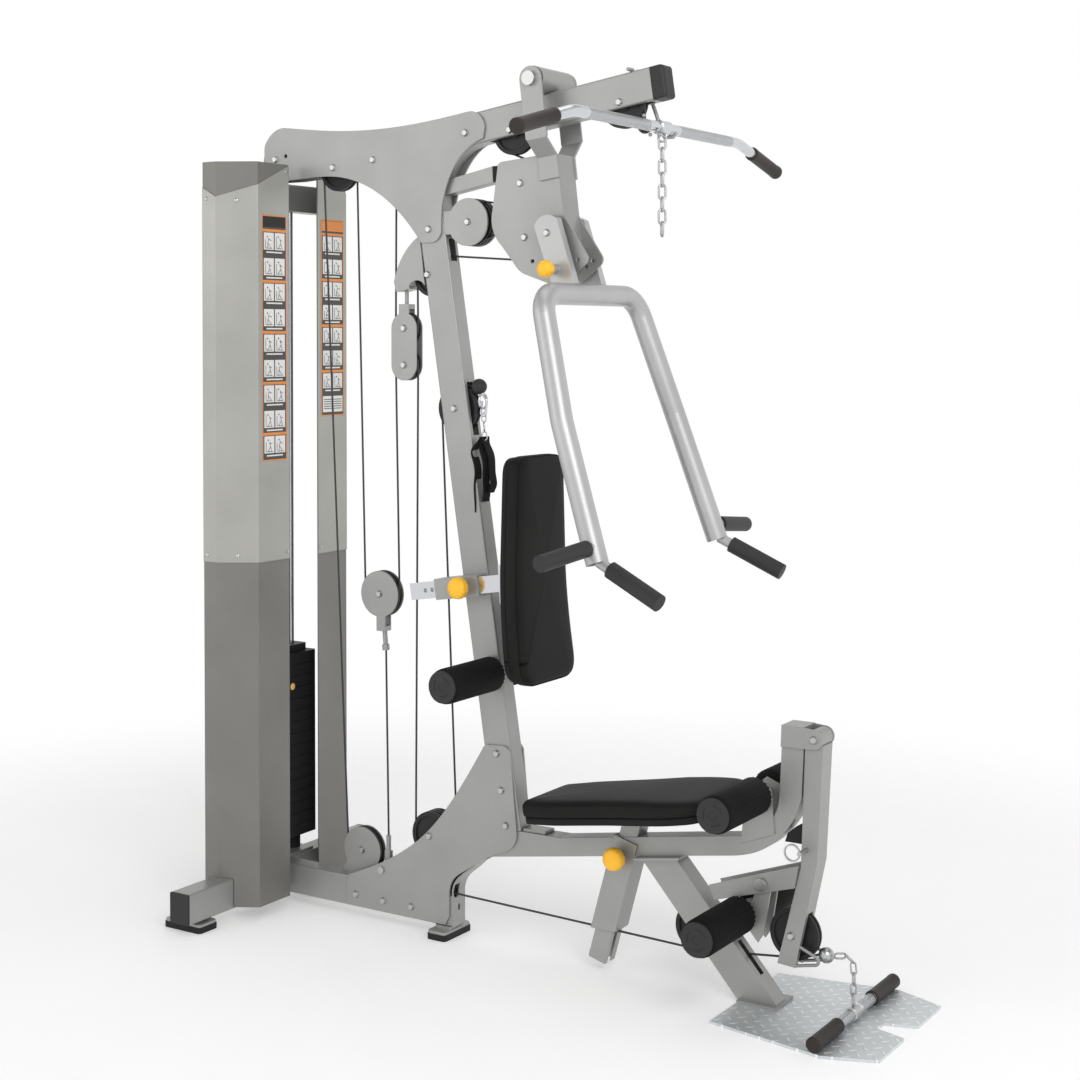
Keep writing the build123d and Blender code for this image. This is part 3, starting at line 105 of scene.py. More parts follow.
def shade(name, color, metallic=0.0, roughness=0.5, spread=0.06, grain=400.0, bump=0.1,
          bevel=0.0015, coat=0.0, distance=0.0005, stretch=(1, 1, 1), gleam=0.5):
    """A surface whose tone wanders a little, with fine grain and softened edges."""
    material, tree, shader = new_material(name, color, metallic, roughness)
    link = tree.links.new
    place = node(tree, "ShaderNodeTexCoord")
    mapping = node(tree, "ShaderNodeMapping")
    mapping.inputs["Scale"].default_value = stretch
    link(place.outputs["Object"], mapping.inputs["Vector"])
    wide = node(tree, "ShaderNodeTexNoise", Scale=7.0, Detail=4.0)
    link(mapping.outputs["Vector"], wide.inputs["Vector"])
    ramp = node(tree, "ShaderNodeValToRGB")
    ramp.color_ramp.elements[0].position = 0.3
    ramp.color_ramp.elements[1].position = 0.7
    ramp.color_ramp.elements[0].color = (*[c * (1 - spread) for c in color], 1)
    ramp.color_ramp.elements[1].color = (*[min(1, c * (1 + spread)) for c in color], 1)
    link(wide.outputs["Fac"], ramp.inputs["Fac"])
    link(ramp.outputs["Color"], shader.inputs["Base Color"])
    fine = node(tree, "ShaderNodeTexNoise", Scale=grain, Detail=3.0)
    link(mapping.outputs["Vector"], fine.inputs["Vector"])
    rough = node(tree, "ShaderNodeMapRange")
    rough.inputs["To Min"].default_value = max(0.02, roughness - 0.06)
    rough.inputs["To Max"].default_value = min(1.0, roughness + 0.06)
    link(fine.outputs["Fac"], rough.inputs["Value"])
    link(rough.outputs["Result"], shader.inputs["Roughness"])
    edge = node(tree, "ShaderNodeBevel", samples=4)
    edge.inputs["Radius"].default_value = bevel
    relief = node(tree, "ShaderNodeBump", Strength=bump, Distance=distance)
    link(fine.outputs["Fac"], relief.inputs["Height"])
    link(edge.outputs["Normal"], relief.inputs["Normal"])
    link(relief.outputs["Normal"], shader.inputs["Normal"])
    shader.inputs["Coat Weight"].default_value = coat
    shader.inputs["Specular IOR Level"].default_value = gleam
    shader.inputs["Coat Roughness"].default_value = 0.25
    return material


def smooth_range(tree, source, start, end, first, last):
    """A smooth step between two values, driven by a socket."""
    step = node(tree, "ShaderNodeMapRange", interpolation_type="SMOOTHSTEP")
    step.inputs["From Min"].default_value = start
    step.inputs["From Max"].default_value = end
    step.inputs["To Min"].default_value = first
    step.inputs["To Max"].default_value = last
    tree.links.new(source, step.inputs["Value"])
    return step.outputs["Result"]


def tread(name, color):
    """Sheet metal with raised diamond bars, crossing by turns."""
    material = shade(name, color, 0.75, 0.42, spread=0.08, grain=500.0, bump=0.1)
    tree = material.node_tree
    link = tree.links.new
    place = node(tree, "ShaderNodeTexCoord")
    height = None
    for angle, shift in ((45, 0.0), (-45, 0.5)):
        mapping = node(tree, "ShaderNodeMapping")
        mapping.inputs["Scale"].default_value = (26, 26, 1)
        mapping.inputs["Location"].default_value = (shift, shift, 0)
        link(place.outputs["Object"], mapping.inputs["Vector"])
        cell = node(tree, "ShaderNodeVectorMath", operation="FRACTION")
        link(mapping.outputs["Vector"], cell.inputs[0])
        centred = node(tree, "ShaderNodeVectorMath", operation="SUBTRACT")
        centred.inputs[1].default_value = (0.5, 0.5, 0)
        link(cell.outputs[0], centred.inputs[0])
        turn = node(tree, "ShaderNodeVectorRotate", rotation_type="Z_AXIS")
        turn.inputs["Angle"].default_value = radians(angle)
        link(centred.outputs[0], turn.inputs["Vector"])
        flat = node(tree, "ShaderNodeVectorMath", operation="MULTIPLY")
        flat.inputs[1].default_value = (3.2, 13.0, 0)
        link(turn.outputs[0], flat.inputs[0])
        reach = node(tree, "ShaderNodeVectorMath", operation="LENGTH")
        link(flat.outputs[0], reach.inputs[0])
        bar = smooth_range(tree, reach.outputs["Value"], 1.0, 0.7, 0.0, 1.0)
        if height is None:
            height = bar
        else:
            both = node(tree, "ShaderNodeMath", operation="MAXIMUM")
            link(height, both.inputs[0])
            link(bar, both.inputs[1])
            height = both.outputs[0]
    raised = node(tree, "ShaderNodeBump", Strength=0.9, Distance=0.0015)
    link(height, raised.inputs["Height"])
    shader = tree.nodes["Principled BSDF"]
    worn = node(tree, "ShaderNodeMix", data_type="RGBA")
    link(height, worn.inputs["Factor"])
    link(shader.inputs["Base Color"].links[0].from_socket, worn.inputs["A"])
    worn.inputs["B"].default_value = (*[min(1.0, c * 1.35) for c in color], 1)
    link(worn.outputs["Result"], shader.inputs["Base Color"])
    link(shader.inputs["Normal"].links[0].from_socket, raised.inputs["Normal"])
    link(raised.outputs["Normal"], shader.inputs["Normal"])
    return material


def knurled(name, color):
    """Bright metal with a fine crossed pattern."""
    material = shade(name, color, 1.0, 0.25, spread=0.03, grain=300.0, bump=0.05)
    tree = material.node_tree
    link = tree.links.new
    place = node(tree, "ShaderNodeTexCoord")
    last = tree.nodes["Principled BSDF"].inputs["Normal"].links[0].from_socket
    for turn in (35, -35):
        mapping = node(tree, "ShaderNodeMapping")
        mapping.inputs["Rotation"].default_value = (radians(turn), 0, 0)
        link(place.outputs["Object"], mapping.inputs["Vector"])
        wave = node(tree, "ShaderNodeTexWave", Scale=190.0, bands_direction="Y")
        link(mapping.outputs["Vector"], wave.inputs["Vector"])
        relief = node(tree, "ShaderNodeBump", Strength=0.5, Distance=0.0006)
        link(wave.outputs["Fac"], relief.inputs["Height"])
        link(last, relief.inputs["Normal"])
        last = relief.outputs["Normal"]
    link(last, tree.nodes["Principled BSDF"].inputs["Normal"])
    return material


silver = shade("frame silver", (0.335, 0.338, 0.328), 0.5, 0.42, grain=900.0, bump=0.16, coat=0.15)
arm_silver = shade("arm silver", (0.44, 0.445, 0.44), 0.5, 0.38, grain=900.0, bump=0.12, coat=0.15)
shroud = shade("shroud grey", (0.200, 0.194, 0.180), 0.4, 0.45, grain=900.0, bump=0.14,
               bevel=0.003)
overlay = shade("overlay silver", (0.385, 0.382, 0.355), 0.5, 0.42, grain=900.0, bump=0.14,
                bevel=0.003)
chrome = shade("chrome", (0.62, 0.63, 0.65), 1.0, 0.14, spread=0.02, grain=200.0, bump=0.02)
zinc = shade("zinc", (0.50, 0.51, 0.50), 1.0, 0.3, grain=500.0, bump=0.08)
knurl = knurled("knurled chrome", (0.52, 0.53, 0.55))
plastic = shade("black plastic", (0.016, 0.016, 0.017), 0.0, 0.45, grain=700.0, bump=0.12,
                gleam=0.3)
cap_plastic = shade("cap plastic", (0.026, 0.026, 0.026), 0.0, 0.5, grain=600.0, bump=0.15,
                    gleam=0.3)
yellow = shade("yellow plastic", (0.95, 0.50, 0.022), 0.0, 0.35, grain=300.0, bump=0.05, coat=0.3,
               bevel=0.004, gleam=0.3)
rubber = shade("black rubber", (0.016, 0.016, 0.016), 0.0, 0.62, grain=900.0, bump=0.25,
               gleam=0.25)
grip = shade("grip rubber", (0.028, 0.029, 0.028), 0.0, 0.55, grain=1100.0, bump=0.4, gleam=0.3)
bar_grip = shade("bar grip", (0.026, 0.020, 0.018), 0.0, 0.5, grain=1100.0, bump=0.4, gleam=0.3)
cable_skin = shade("cable", (0.03, 0.032, 0.033), 0.1, 0.38, grain=800.0, bump=0.1)
iron = shade("plate paint", (0.022, 0.022, 0.024), 0.2, 0.5, grain=600.0, bump=0.2, bevel=0.002)
cover = shade("pad cover", (0.0062, 0.0075, 0.0060), 0.0, 0.62, spread=0.3, grain=1500.0,
              bump=0.5, distance=0.0006, gleam=0.2)
board = shade("board edge", (0.008, 0.008, 0.008), 0.0, 0.55, grain=500.0, bump=0.2, gleam=0.2)
foam = shade("foam", (0.0062, 0.0066, 0.0060), 0.0, 0.75, spread=0.3, grain=1200.0, bump=0.6,
             distance=0.0008, gleam=0.15)
brass = shade("brass", (0.66, 0.44, 0.16), 1.0, 0.3, grain=400.0, bump=0.06)
strap = shade("strap", (0.009, 0.009, 0.009), 0.0, 0.75, grain=1600.0, bump=0.6, gleam=0.2)
tread_plate = tread("tread plate", (0.68, 0.705, 0.715))
white = shade("print white", (0.72, 0.72, 0.70), 0.0, 0.45, spread=0.03, bump=0.03)
dark_print = shade("print grey", (0.055, 0.052, 0.05), 0.0, 0.45, spread=0.05, bump=0.03)
orange = shade("print orange", (0.70, 0.24, 0.045), 0.0, 0.45, spread=0.04, bump=0.03)

finishes = {
    "frame_silver": silver, "arm_silver": arm_silver, "shroud_grey": shroud,
    "overlay_silver": overlay, "chrome": chrome, "zinc": zinc, "black_plastic": plastic,
    "yellow_plastic": yellow, "black_rubber": rubber, "cable_black": cable_skin,
    "plate_iron": iron, "pad_cover": cover, "foam_black": foam, "tread_metal": tread_plate,
}
slot_of = {part["node"]: part["material_slot"] for part in frame["record"]["subparts"]}
special = {
    "handle_grips": grip, "end_caps": cap_plastic, "selector_pin": brass,
    "pulley_blocks": silver, "seat_post": silver,
}
for name, piece in nodes.items():
    piece.data.materials.clear()
    piece.data.materials.append(special.get(name, finishes[slot_of[name]]))


# ---- building helpers -----------------------------------------------------------------------
def mesh_object(name, points, faces, material, smooth=True):
    """A mesh object with one material."""
    name = name.replace(" ", "_")
    mesh = bpy.data.meshes.new(name)
    mesh.from_pydata([tuple(p) for p in points], [], faces)
    mesh.validate()
    mesh.update()
    made = bpy.data.objects.new(name, mesh)
    bpy.context.scene.collection.objects.link(made)
    mesh.materials.append(material)
    if smooth:
        mesh.shade_smooth()
    return made


def sharp_by_angle(piece, angle=35):
    """Smooth shading, with edges above this angle kept sharp."""
    piece.data.shade_smooth()
    piece.data.set_sharp_from_angle(angle=radians(angle))


def ring_frame(tangent):
    """Two directions at right angles to this one."""
    side = tangent.orthogonal().normalized()
    return side, tangent.cross(side).normalized()


def tube(name, path, radius, material, sides=16, closed=False, caps=True):
    """A round tube along points, its rings carried along without twist."""
    path = [Vector(p) for p in path]
    count = len(path)
    tangents = []
    for i in range(count):
        before = path[i - 1] if i or closed else path[0]
        after = path[(i + 1) % count] if i + 1 < count or closed else path[-1]
        tangents.append((after - before).normalized())
    side, other = ring_frame(tangents[0])
    points = []
    radii = radius if isinstance(radius, (list, tuple)) else [radius] * count
    for i, centre in enumerate(path):
        if i:
            side = (side - tangents[i] * side.dot(tangents[i])).normalized()
            other = tangents[i].cross(side).normalized()
        for k in range(sides):
            angle = 2 * pi * k / sides
            points.append(centre + (side * cos(angle) + other * sin(angle)) * radii[i])
    faces = []
    for i in range(count if closed else count - 1):
        for k in range(sides):
            a, b = i * sides + k, i * sides + (k + 1) % sides
            c, d = ((i + 1) % count) * sides + (k + 1) % sides, ((i + 1) % count) * sides + k
            faces.append((a, b, c, d))
    if caps and not closed:
        faces.append(tuple(range(sides))[::-1])
        faces.append(tuple(range((count - 1) * sides, count * sides)))
    made = mesh_object(name, points, faces, material)
    sharp_by_angle(made, 50)
    return made


def lathe(name, start, axis, profile, material, sides=48):
    """A turned piece: profile points are (distance along the axis, radius)."""
    start, axis = Vector(start), Vector(axis).normalized()
    path = [start + axis * along for along, _ in profile]
    side, other = ring_frame(axis)
    points = []
    for centre, (_, radius) in zip(path, profile):
        for k in range(sides):
            angle = 2 * pi * k / sides
            points.append(centre + (side * cos(angle) + other * sin(angle)) * max(radius, 1e-5))
    faces = []
    for i in range(len(profile) - 1):
        for k in range(sides):
            a, b = i * sides + k, i * sides + (k + 1) % sides
            faces.append((a, b, b + sides, a + sides))
    faces.append(tuple(range(sides))[::-1])
    faces.append(tuple(range((len(profile) - 1) * sides, len(profile) * sides)))
    made = mesh_object(name, points, faces, material)
    sharp_by_angle(made, 40)
    return made


def smooth_path(points, steps=10):
    """A smooth curve through the points."""
    points = [Vector(p) for p in points]
    ends = [points[0] * 2 - points[1], *points, points[-1] * 2 - points[-2]]
    path = []
    for i in range(1, len(ends) - 2):
        a, b, c, d = ends[i - 1:i + 3]
        for k in range(steps):
            t = k / steps
            path.append(0.5 * ((2 * b) + (c - a) * t + (2 * a - 5 * b + 4 * c - d) * t * t
                               + (3 * b - a - 3 * c + d) * t ** 3))
    path.append(points[-1])
    return path


def bent_path(points, radius, steps=8):
    """Straight runs with a round bend at each inner point."""
    points = [Vector(p) for p in points]
    path = [points[0]]
    for before, corner, after in zip(points, points[1:], points[2:]):
        a, b = (before - corner).normalized(), (after - corner).normalized()
        back = radius * tan((pi - a.angle(b)) / 2)
        start, end = corner + a * back, corner + b * back
        for k in range(steps + 1):
            t = k / steps
            path.append(start * (1 - t) ** 2 + corner * 2 * t * (1 - t) + end * t * t)
    path.append(points[-1])
    return path


def join(name, pieces):
    """One object from several, each keeping its own material."""
    points, faces, materials, marks, smooth = [], [], [], [], []
    for piece in pieces:
        mesh = piece.data
        start = len(points)
        points += [v.co.copy() for v in mesh.vertices]
        for material in mesh.materials:
            if material not in materials:
                materials.append(material)
        for polygon in mesh.polygons:
            faces.append([start + i for i in polygon.vertices])
            marks.append(materials.index(mesh.materials[polygon.material_index]))
            smooth.append(polygon.use_smooth)
    for piece in pieces:
        bpy.data.objects.remove(piece)
    made = mesh_object(name, points, faces, materials[0])
    for material in materials[1:]:
        made.data.materials.append(material)
    made.data.polygons.foreach_set("material_index", marks)
    made.data.polygons.foreach_set("use_smooth", smooth)
    made.data.set_sharp_from_angle(angle=radians(40))
    return made


def link_chain(points, wire, length, width, material):
    """Oval chain links along points, each a quarter turn from the last."""
    path = [Vector(p) for p in points]
    pitch = length - 2 * wire
    made = []
    total = sum((b - a).length for a, b in zip(path, path[1:]))
    count = int(total / pitch)
    for index in range(count):
        wanted = (index + 0.5) * total / count
        travelled = 0.0
        for a, b in zip(path, path[1:]):
            step = (b - a).length
            if travelled + step >= wanted:
                centre = a + (b - a) * ((wanted - travelled) / step)
                along = (b - a).normalized()
                break
            travelled += step
        side, other = ring_frame(along)
        if index % 2:
            side = other
        loop = []
        straight, bend = (length - width) / 2, (width - wire) / 2
        for k in range(20):
            angle = 2 * pi * k / 20
            shift = straight if sin(angle) > 0 else -straight
            loop.append(centre + along * (sin(angle) * bend + shift) + side * cos(angle) * bend)
        made.append(tube("link", loop, wire / 2, material, sides=8, closed=True))
    return made


# ---- cushions -------------------------------------------------------------------------------
def outline_points(corners, radius, steps=8):
    """A closed outline with rounded corners, as flat points."""
    corners = [Vector((*c, 0)) for c in corners]
    radii = radius if isinstance(radius, list) else [radius] * len(corners)
    result = []
    for i, corner in enumerate(corners):
        a = (corners[i - 1] - corner)
        b = (corners[(i + 1) % len(corners)] - corner)
        turn = (pi - a.angle(b)) / 2
        back = min(radii[i] * tan(turn), a.length * 0.49, b.length * 0.49)
        start, end = corner + a.normalized() * back, corner + b.normalized() * back
        for k in range(steps + 1):
            t = k / steps
            result.append((start * (1 - t) ** 2 + corner * 2 * t * (1 - t) + end * t * t).xy)
    even = []
    total = sum((b - a).length for a, b in zip(result, result[1:] + result[:1]))
    step = total / 160
    carried = 0.0
    for a, b in zip(result, result[1:] + result[:1]):
        length = (b - a).length
        while carried < length and length > 0:
            even.append(a + (b - a) * (carried / length))
            carried += step
        carried -= length
    return even


def inset(outline, amount):
    """The outline moved inwards."""
    moved = []
    count = len(outline)
    for i, point in enumerate(outline):
        run = (outline[(i + 2) % count] - outline[i - 2]).normalized()
        moved.append(point + Vector((-run.y, run.x)) * amount)
    return moved


def cushion(name, outline, layers, place, crown, material):
    """A closed pad: rings of the outline at (inset, height), then a crowned middle."""
    count = len(outline)
    centre = sum(outline, Vector((0, 0))) / count
    rings = []
    for amount, height in layers:
        rings.append([(p, height) for p in inset(outline, amount)])
    last, level = [p for p, _ in rings[-1]], layers[-1][1]
    for share in (0.9, 0.75, 0.55, 0.35, 0.15):
        rise = crown * (1 - share * share)
        rings.append([(centre + (p - centre) * share, level + rise) for p in last])
    points = [place(p.x, p.y, h) for ring in rings for p, h in ring]
    points.append(place(centre.x, centre.y, level + crown))
    points.append(place(centre.x, centre.y, layers[0][1]))
    faces = []
    for r in range(len(rings) - 1):
        for k in range(count):
            a, b = r * count + k, r * count + (k + 1) % count
            faces.append((a, b, b + count, a + count))
    top, bottom = len(points) - 2, len(points) - 1
    start = (len(rings) - 1) * count
    for k in range(count):
        faces.append((start + k, start + (k + 1) % count, top))
        faces.append(((k + 1) % count, k, bottom))
    return mesh_object(name, points, faces, material)


def seat_place(x, y, height):
    """A point of the seat: along the rail, across, and above its board."""
    return Vector((
        0.274 + x * cos(SEAT_SLOPE) - height * sin(SEAT_SLOPE), y,
        0.330 + x * sin(SEAT_SLOPE) + height * cos(SEAT_SLOPE),
    ))


def back_front(z):
    """x of the back pad's front face at this height."""
    share = min(1.0, max(0.0, (0.919 - z) / 0.26))
    return 0.280 + 0.023 * share ** 1.7


def back_place(y, z, height):
    """A point of the back pad: across, up, and in front of its board."""
    return Vector((back_front(z) - 0.062 + height, y, z))


def pad_layers(bottom, side, top):
    """A pad's side: seam at the board, straight side panel, piped seam, rounded rim."""
    return [
        (0.006, bottom), (0.001, bottom + 0.002), (0.0, bottom + 0.006),
        (-0.0005, bottom + side * 0.5), (0.0, bottom + side - 0.002), (0.0022, bottom + side),
        (0.0004, bottom + side + 0.002), (0.002, top - 0.010), (0.006, top - 0.005),
        (0.012, top - 0.002), (0.022, top),
    ]


seat_outline = outline_points(
    [(0.002, -0.100), (0.10, -0.124), (0.25, -0.132), (0.40, -0.152), (0.486, -0.135),
     (0.486, 0.135), (0.40, 0.152), (0.25, 0.132), (0.10, 0.124), (0.002, 0.100)],
    [0.03, 0.2, 0.4, 0.2, 0.06, 0.06, 0.2, 0.4, 0.2, 0.03],
)
back_outline = outline_points(
    [(-0.120, 0.646), (0.120, 0.646), (0.097, 1.176), (-0.097, 1.176)],
    [0.055, 0.055, 0.045, 0.045],
)


def seat_height(x, y, height):
    """The seat thins a little to the front."""
    thin = 1 - 0.22 * max(0.0, (x - 0.33) / 0.16)
    return seat_place(x, y, 0.017 + (height - 0.017) * thin)


seat_cushion = cushion("seat cushion", seat_outline, pad_layers(0.017, 0.026, 0.055),
                       seat_height, 0.004, cover)
seat_board = cushion("seat board", inset(seat_outline, 0.004),
                     [(0.003, 0.0), (0.0, 0.002), (0.0, 0.017)], seat_place, 0.0, board)
back_cushion = cushion("back cushion", back_outline, pad_layers(0.016, 0.030, 0.056),
                       back_place, 0.005, cover)
back_board = cushion("back board", inset(back_outline, 0.004),
                     [(0.003, 0.0), (0.0, 0.002), (0.0, 0.016)], back_place, 0.0, board)
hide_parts("seat_pad")
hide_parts("back_pad")
for piece, body in ((seat_cushion, "seat"), (seat_board, "seat"),
                    (back_cushion, "back_rest"), (back_board, "back_rest")):
    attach(piece, body)


# ---- foam rollers ---------------------------------------------------------------------------
def foam_roller(name, x, z, body, node_name):
    """A pair of covered foam rollers with end caps and gathered inner ends."""
    pieces = []
    for side in (-1, 1):
        profile = [(0.0, 0.024), (0.002, 0.034), (0.008, ROLLER - 0.002), (0.014, ROLLER),
                   (0.190, ROLLER), (0.198, ROLLER - 0.001), (0.203, ROLLER - 0.005),
                   (0.205, ROLLER - 0.010)]
        sleeve = lathe(name, (x, side * 0.030, z), (0, side, 0), profile, foam, sides=96)
        for vertex in sleeve.data.vertices:
            along = abs(vertex.co.y) - 0.030
            if along < 0.012:
                turn = atan2(vertex.co.z - z, vertex.co.x - x)
                pull = 1 + 0.045 * sin(turn * 24)
                vertex.co.x = x + (vertex.co.x - x) * pull
                vertex.co.z = z + (vertex.co.z - z) * pull
        pieces.append(sleeve)
        cap = [(0.0, ROLLER - 0.004), (0.003, ROLLER - 0.004), (0.004, ROLLER - 0.006),
               (0.0032, ROLLER - 0.008), (0.0032, 0.013), (0.004, 0.012), (0.004, 0.010),
               (0.0025, 0.009), (0.0025, 0.0)]
        pieces.append(lathe("cap", (x, side * 0.235, z), (0, side, 0), cap, cap_plastic))
        for third in range(3):
            arc = []
            for k in range(9):
                angle = radians(third * 120 + 20 + k * 8)
                arc.append((x + 0.022 * cos(angle), side * 0.2384, z + 0.022 * sin(angle)))
            pieces.append(tube("mark", arc, 0.0009, plastic, sides=6))
    pair = join(name, pieces)
    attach(pair, body)
    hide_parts(node_name)
    return pair


foam_roller("rear foam rollers", 0.150, 0.657, "rear_rollers", "rear_rollers")
foam_roller("seat foam rollers", 0.838, 0.462, "seat_rollers", "seat_rollers")
foam_roller("lever foam rollers", 0.801, 0.197, "lever_rollers", "lever_rollers")

# ---- lat bar --------------------------------------------------------------------------------
bar_x, bar_z = 0.587, 1.9195
bow = bent_path([(bar_x, -0.590, 1.866), (bar_x, -0.380, bar_z), (bar_x, 0.380, bar_z),
                 (bar_x, 0.590, 1.866)], 0.180)
lat_pieces = [tube("bar", bow, 0.0125, chrome, sides=32)]
for side in (-1, 1):
    lat_pieces.append(tube("knurl", [(bar_x, side * 0.07, bar_z), (bar_x, side * 0.33, bar_z)],
                           0.01265, knurl, sides=32))
    start, end = Vector((bar_x, side * 0.450, 1.9016)), Vector((bar_x, side * 0.596, 1.8644))
    lat_pieces.append(lathe("grip", start, end - start, [
        (0.0, 0.0150), (0.002, 0.0166), (0.008, 0.0170), (0.012, 0.0162), (0.135, 0.0162),
        (0.139, 0.0170), (0.147, 0.0170), (0.1505, 0.0150)], bar_grip))
lat_pieces.append(lathe("collar", (bar_x, -0.024, bar_z), (0, 1, 0), [
    (0.0, 0.0140), (0.002, 0.0165), (0.046, 0.0165), (0.048, 0.0140)], chrome))
eye = [(bar_x + 0.011 * cos(a * pi / 8), 0.0, bar_z - 0.020 + 0.011 * sin(a * pi / 8))
       for a in range(16)]
lat_pieces.append(tube("eye", eye, 0.0025, zinc, sides=10, closed=True))
lat = join("lat bar looks", lat_pieces)
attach(lat, "lat_bar")
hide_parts("lat_bar")
lat_links = join("lat chain looks", link_chain(
    [(bar_x, 0, 1.901), (bar_x, 0, 1.680)], 0.0055, 0.038, 0.021, zinc))
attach(lat_links, "lat_bar")
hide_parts("lat_chain")

# ---- low bar --------------------------------------------------------------------------------
low_x, low_z = 1.053, 0.0223
low_pieces = [tube("bar", [(low_x, -0.214, low_z), (low_x, 0.224, low_z)], 0.012, chrome, 32)]
for a, b in ((-0.215, -0.085), (0.095, 0.225)):
    low_pieces.append(lathe("grip", (low_x, a, low_z), (0, 1, 0), [
        (0.0, 0.0140), (0.002, 0.0158), (0.008, 0.0160), (0.012, 0.0154), (0.118, 0.0154),
        (0.122, 0.0160), (0.128, 0.0158), (0.130, 0.0140)], bar_grip))
for a, b in ((-0.08, -0.025), (0.025, 0.09)):
    low_pieces.append(tube("knurl", [(low_x, a, low_z), (low_x, b, low_z)], 0.01215, knurl, 32))
low_pieces.append(lathe("swivel", (low_x, -0.020, low_z), (0, 1, 0), [
    (0.0, 0.0125), (0.002, 0.0150), (0.028, 0.0150), (0.030, 0.0125)], zinc))
low_links = join("low chain looks", link_chain(
    smooth_path([(1.012, -0.005, 0.136), (1.036, -0.005, 0.139), (1.050, -0.005, 0.130),
                 (1.054, -0.005, 0.105), (1.053, -0.005, 0.040)], 6),
    0.0042, 0.030, 0.016, zinc))
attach(low_links, "low_bar")
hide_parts("low_chain")
low_looks = join("low bar looks", low_pieces)
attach(low_looks, "low_bar")
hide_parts("low_bar")


# ---- knobs ----------------------------------------------------------------------------------
def fluted_knob(name, x, face, z, ball, barrel, node_name):
    """A pull knob: steel stem and a fluted round head."""
    start = face - barrel - 0.009
    head = [(0.0, ball * 0.62), (0.004, ball * 0.75), (0.0065, ball * 0.95), (0.010, ball),
            (0.019, ball), (0.024, ball * 0.96), (0.028, ball * 0.80), (0.0305, ball * 0.5),
            (0.031, ball * 0.45)]
    grip_piece = lathe(name, (x, start + 0.009, z), (0, -1, 0), head, yellow, sides=72)
    for vertex in grip_piece.data.vertices:
        reach = hypot(vertex.co.x - x, vertex.co.z - z)
        if reach > ball * 0.7:
            turn = atan2(vertex.co.z - z, vertex.co.x - x)
            pull = 1 - 0.045 * (0.5 + 0.5 * cos(turn * 12)) ** 4
            vertex.co.x = x + (vertex.co.x - x) * pull
            vertex.co.z = z + (vertex.co.z - z) * pull
    stem = tube("stem", [(x, face + 0.004, z), (x, face - barrel, z)], 0.0049, zinc)
    knob = join(name, [grip_piece, stem])
    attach(knob, node_name)
    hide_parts(node_name)


pin_angle = radians(-74.7)
fluted_knob("press fluted knob", 0.326 + 0.087 * cos(pin_angle), -0.071,
            1.690 + 0.087 * sin(pin_angle), 0.020, 0.025, "press_knob")
fluted_knob("seat fluted knob", 0.499, -0.031, 0.276, 0.026, 0.015, "seat_knob")
fluted_knob("back fluted knob", 0.0933 + cos(MAST_LEAN) * 0.001 + 0.037 * sin(MAST_LEAN), -0.075,
            0.900 + 0.001 * sin(MAST_LEAN) - 0.037 * cos(MAST_LEAN), 0.026, 0.013, "back_knob")
for x, z, y0, y1, radius in ((0.499, 0.276, -0.031, -0.044, 0.012),
                             (0.1, 0.8635, -0.075, -0.086, 0.015)):
    boss = tube("boss", [(x, y0, z), (x, y1, z)], radius, zinc, 6)
    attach(boss, "frame")

# ---- cables, as fixed tubes along their runs over the wheels ---------------------------------


def heading(first, second):
    """Direction of the tangent between two wheels (x, z, signed radius)."""
    (ax, az, ar), (bx, bz, br) = first, second
    return atan2(bz - az, bx - ax) - asin((br - ar) / hypot(bx - ax, bz - az))


def touch(wheel, angle):
    """The point where a cable with this heading touches the wheel."""
    x, y, z, signed = wheel
    return Vector((x + signed * sin(angle), y, z - signed * cos(angle)))


def run(first, second):
    """The straight run between two wheels (x, y, z, signed radius)."""
    angle = heading((first[0], first[2], first[3]), (second[0], second[2], second[3]))
    return touch(first, angle), touch(second, angle), angle


def wrap(wheel, arriving, leaving):
    """Points of the arc on a wheel between two headings."""
    turn = 1 if wheel[3] > 0 else -1
    swing = (leaving - arriving) * turn % (2 * pi)
    return [touch(wheel, arriving + turn * swing * k / 16) for k in range(17)]


def dense(a, b, count=24):
    """Evenly spaced points on a straight run."""
    return [a + (b - a) * (k / count) for k in range(count + 1)]


boom_rear = (0.194, 0, 1.937, WHEEL)
sector_upper = (0.231, 0, 1.810, -WHEEL)
disc = (0.074, 0, 1.726, WHEEL)
sector_lower = (0.243, 0, 1.684, -WHEEL)
mast_wheel = (-0.044, 0, 1.603, 0.048)
a0, a1, heading_a = run(boom_rear, sector_upper)
b0, b1, heading_b = run(sector_upper, disc)
c0, c1, heading_c = run(disc, sector_lower)
d0, d1, heading_d = run(sector_lower, mast_wheel)
press_runs = [
    ("press cable upper", dense(a0, a1, 12) + wrap(sector_upper, heading_a, heading_b)[1:-1],
     a0, a1),
    ("press cable back", dense(b1, b0), b1, b0),
    ("press cable forward", dense(c0, c1), c0, c1),
    ("press cable lower", dense(d1, d0) + wrap(sector_lower, heading_c, heading_d)[::-1][1:-1],
     d1, d0),
]
for name, path, start, end in press_runs:
    piece = tube(name, path, CABLE, cable_skin, sides=12)
    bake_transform(piece)
    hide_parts("press_cable")

# The stack's cable is 1.251 m long at rest, and the stack rises by 0.5404 m.
drop = tube("stack drop cable", dense(Vector((-0.573, 0, 0.654)), Vector((-0.573, 0, 1.905)), 30),
            CABLE, cable_skin, sides=12)
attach(drop, "frame")
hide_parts("stack_cable")
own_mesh(drop)

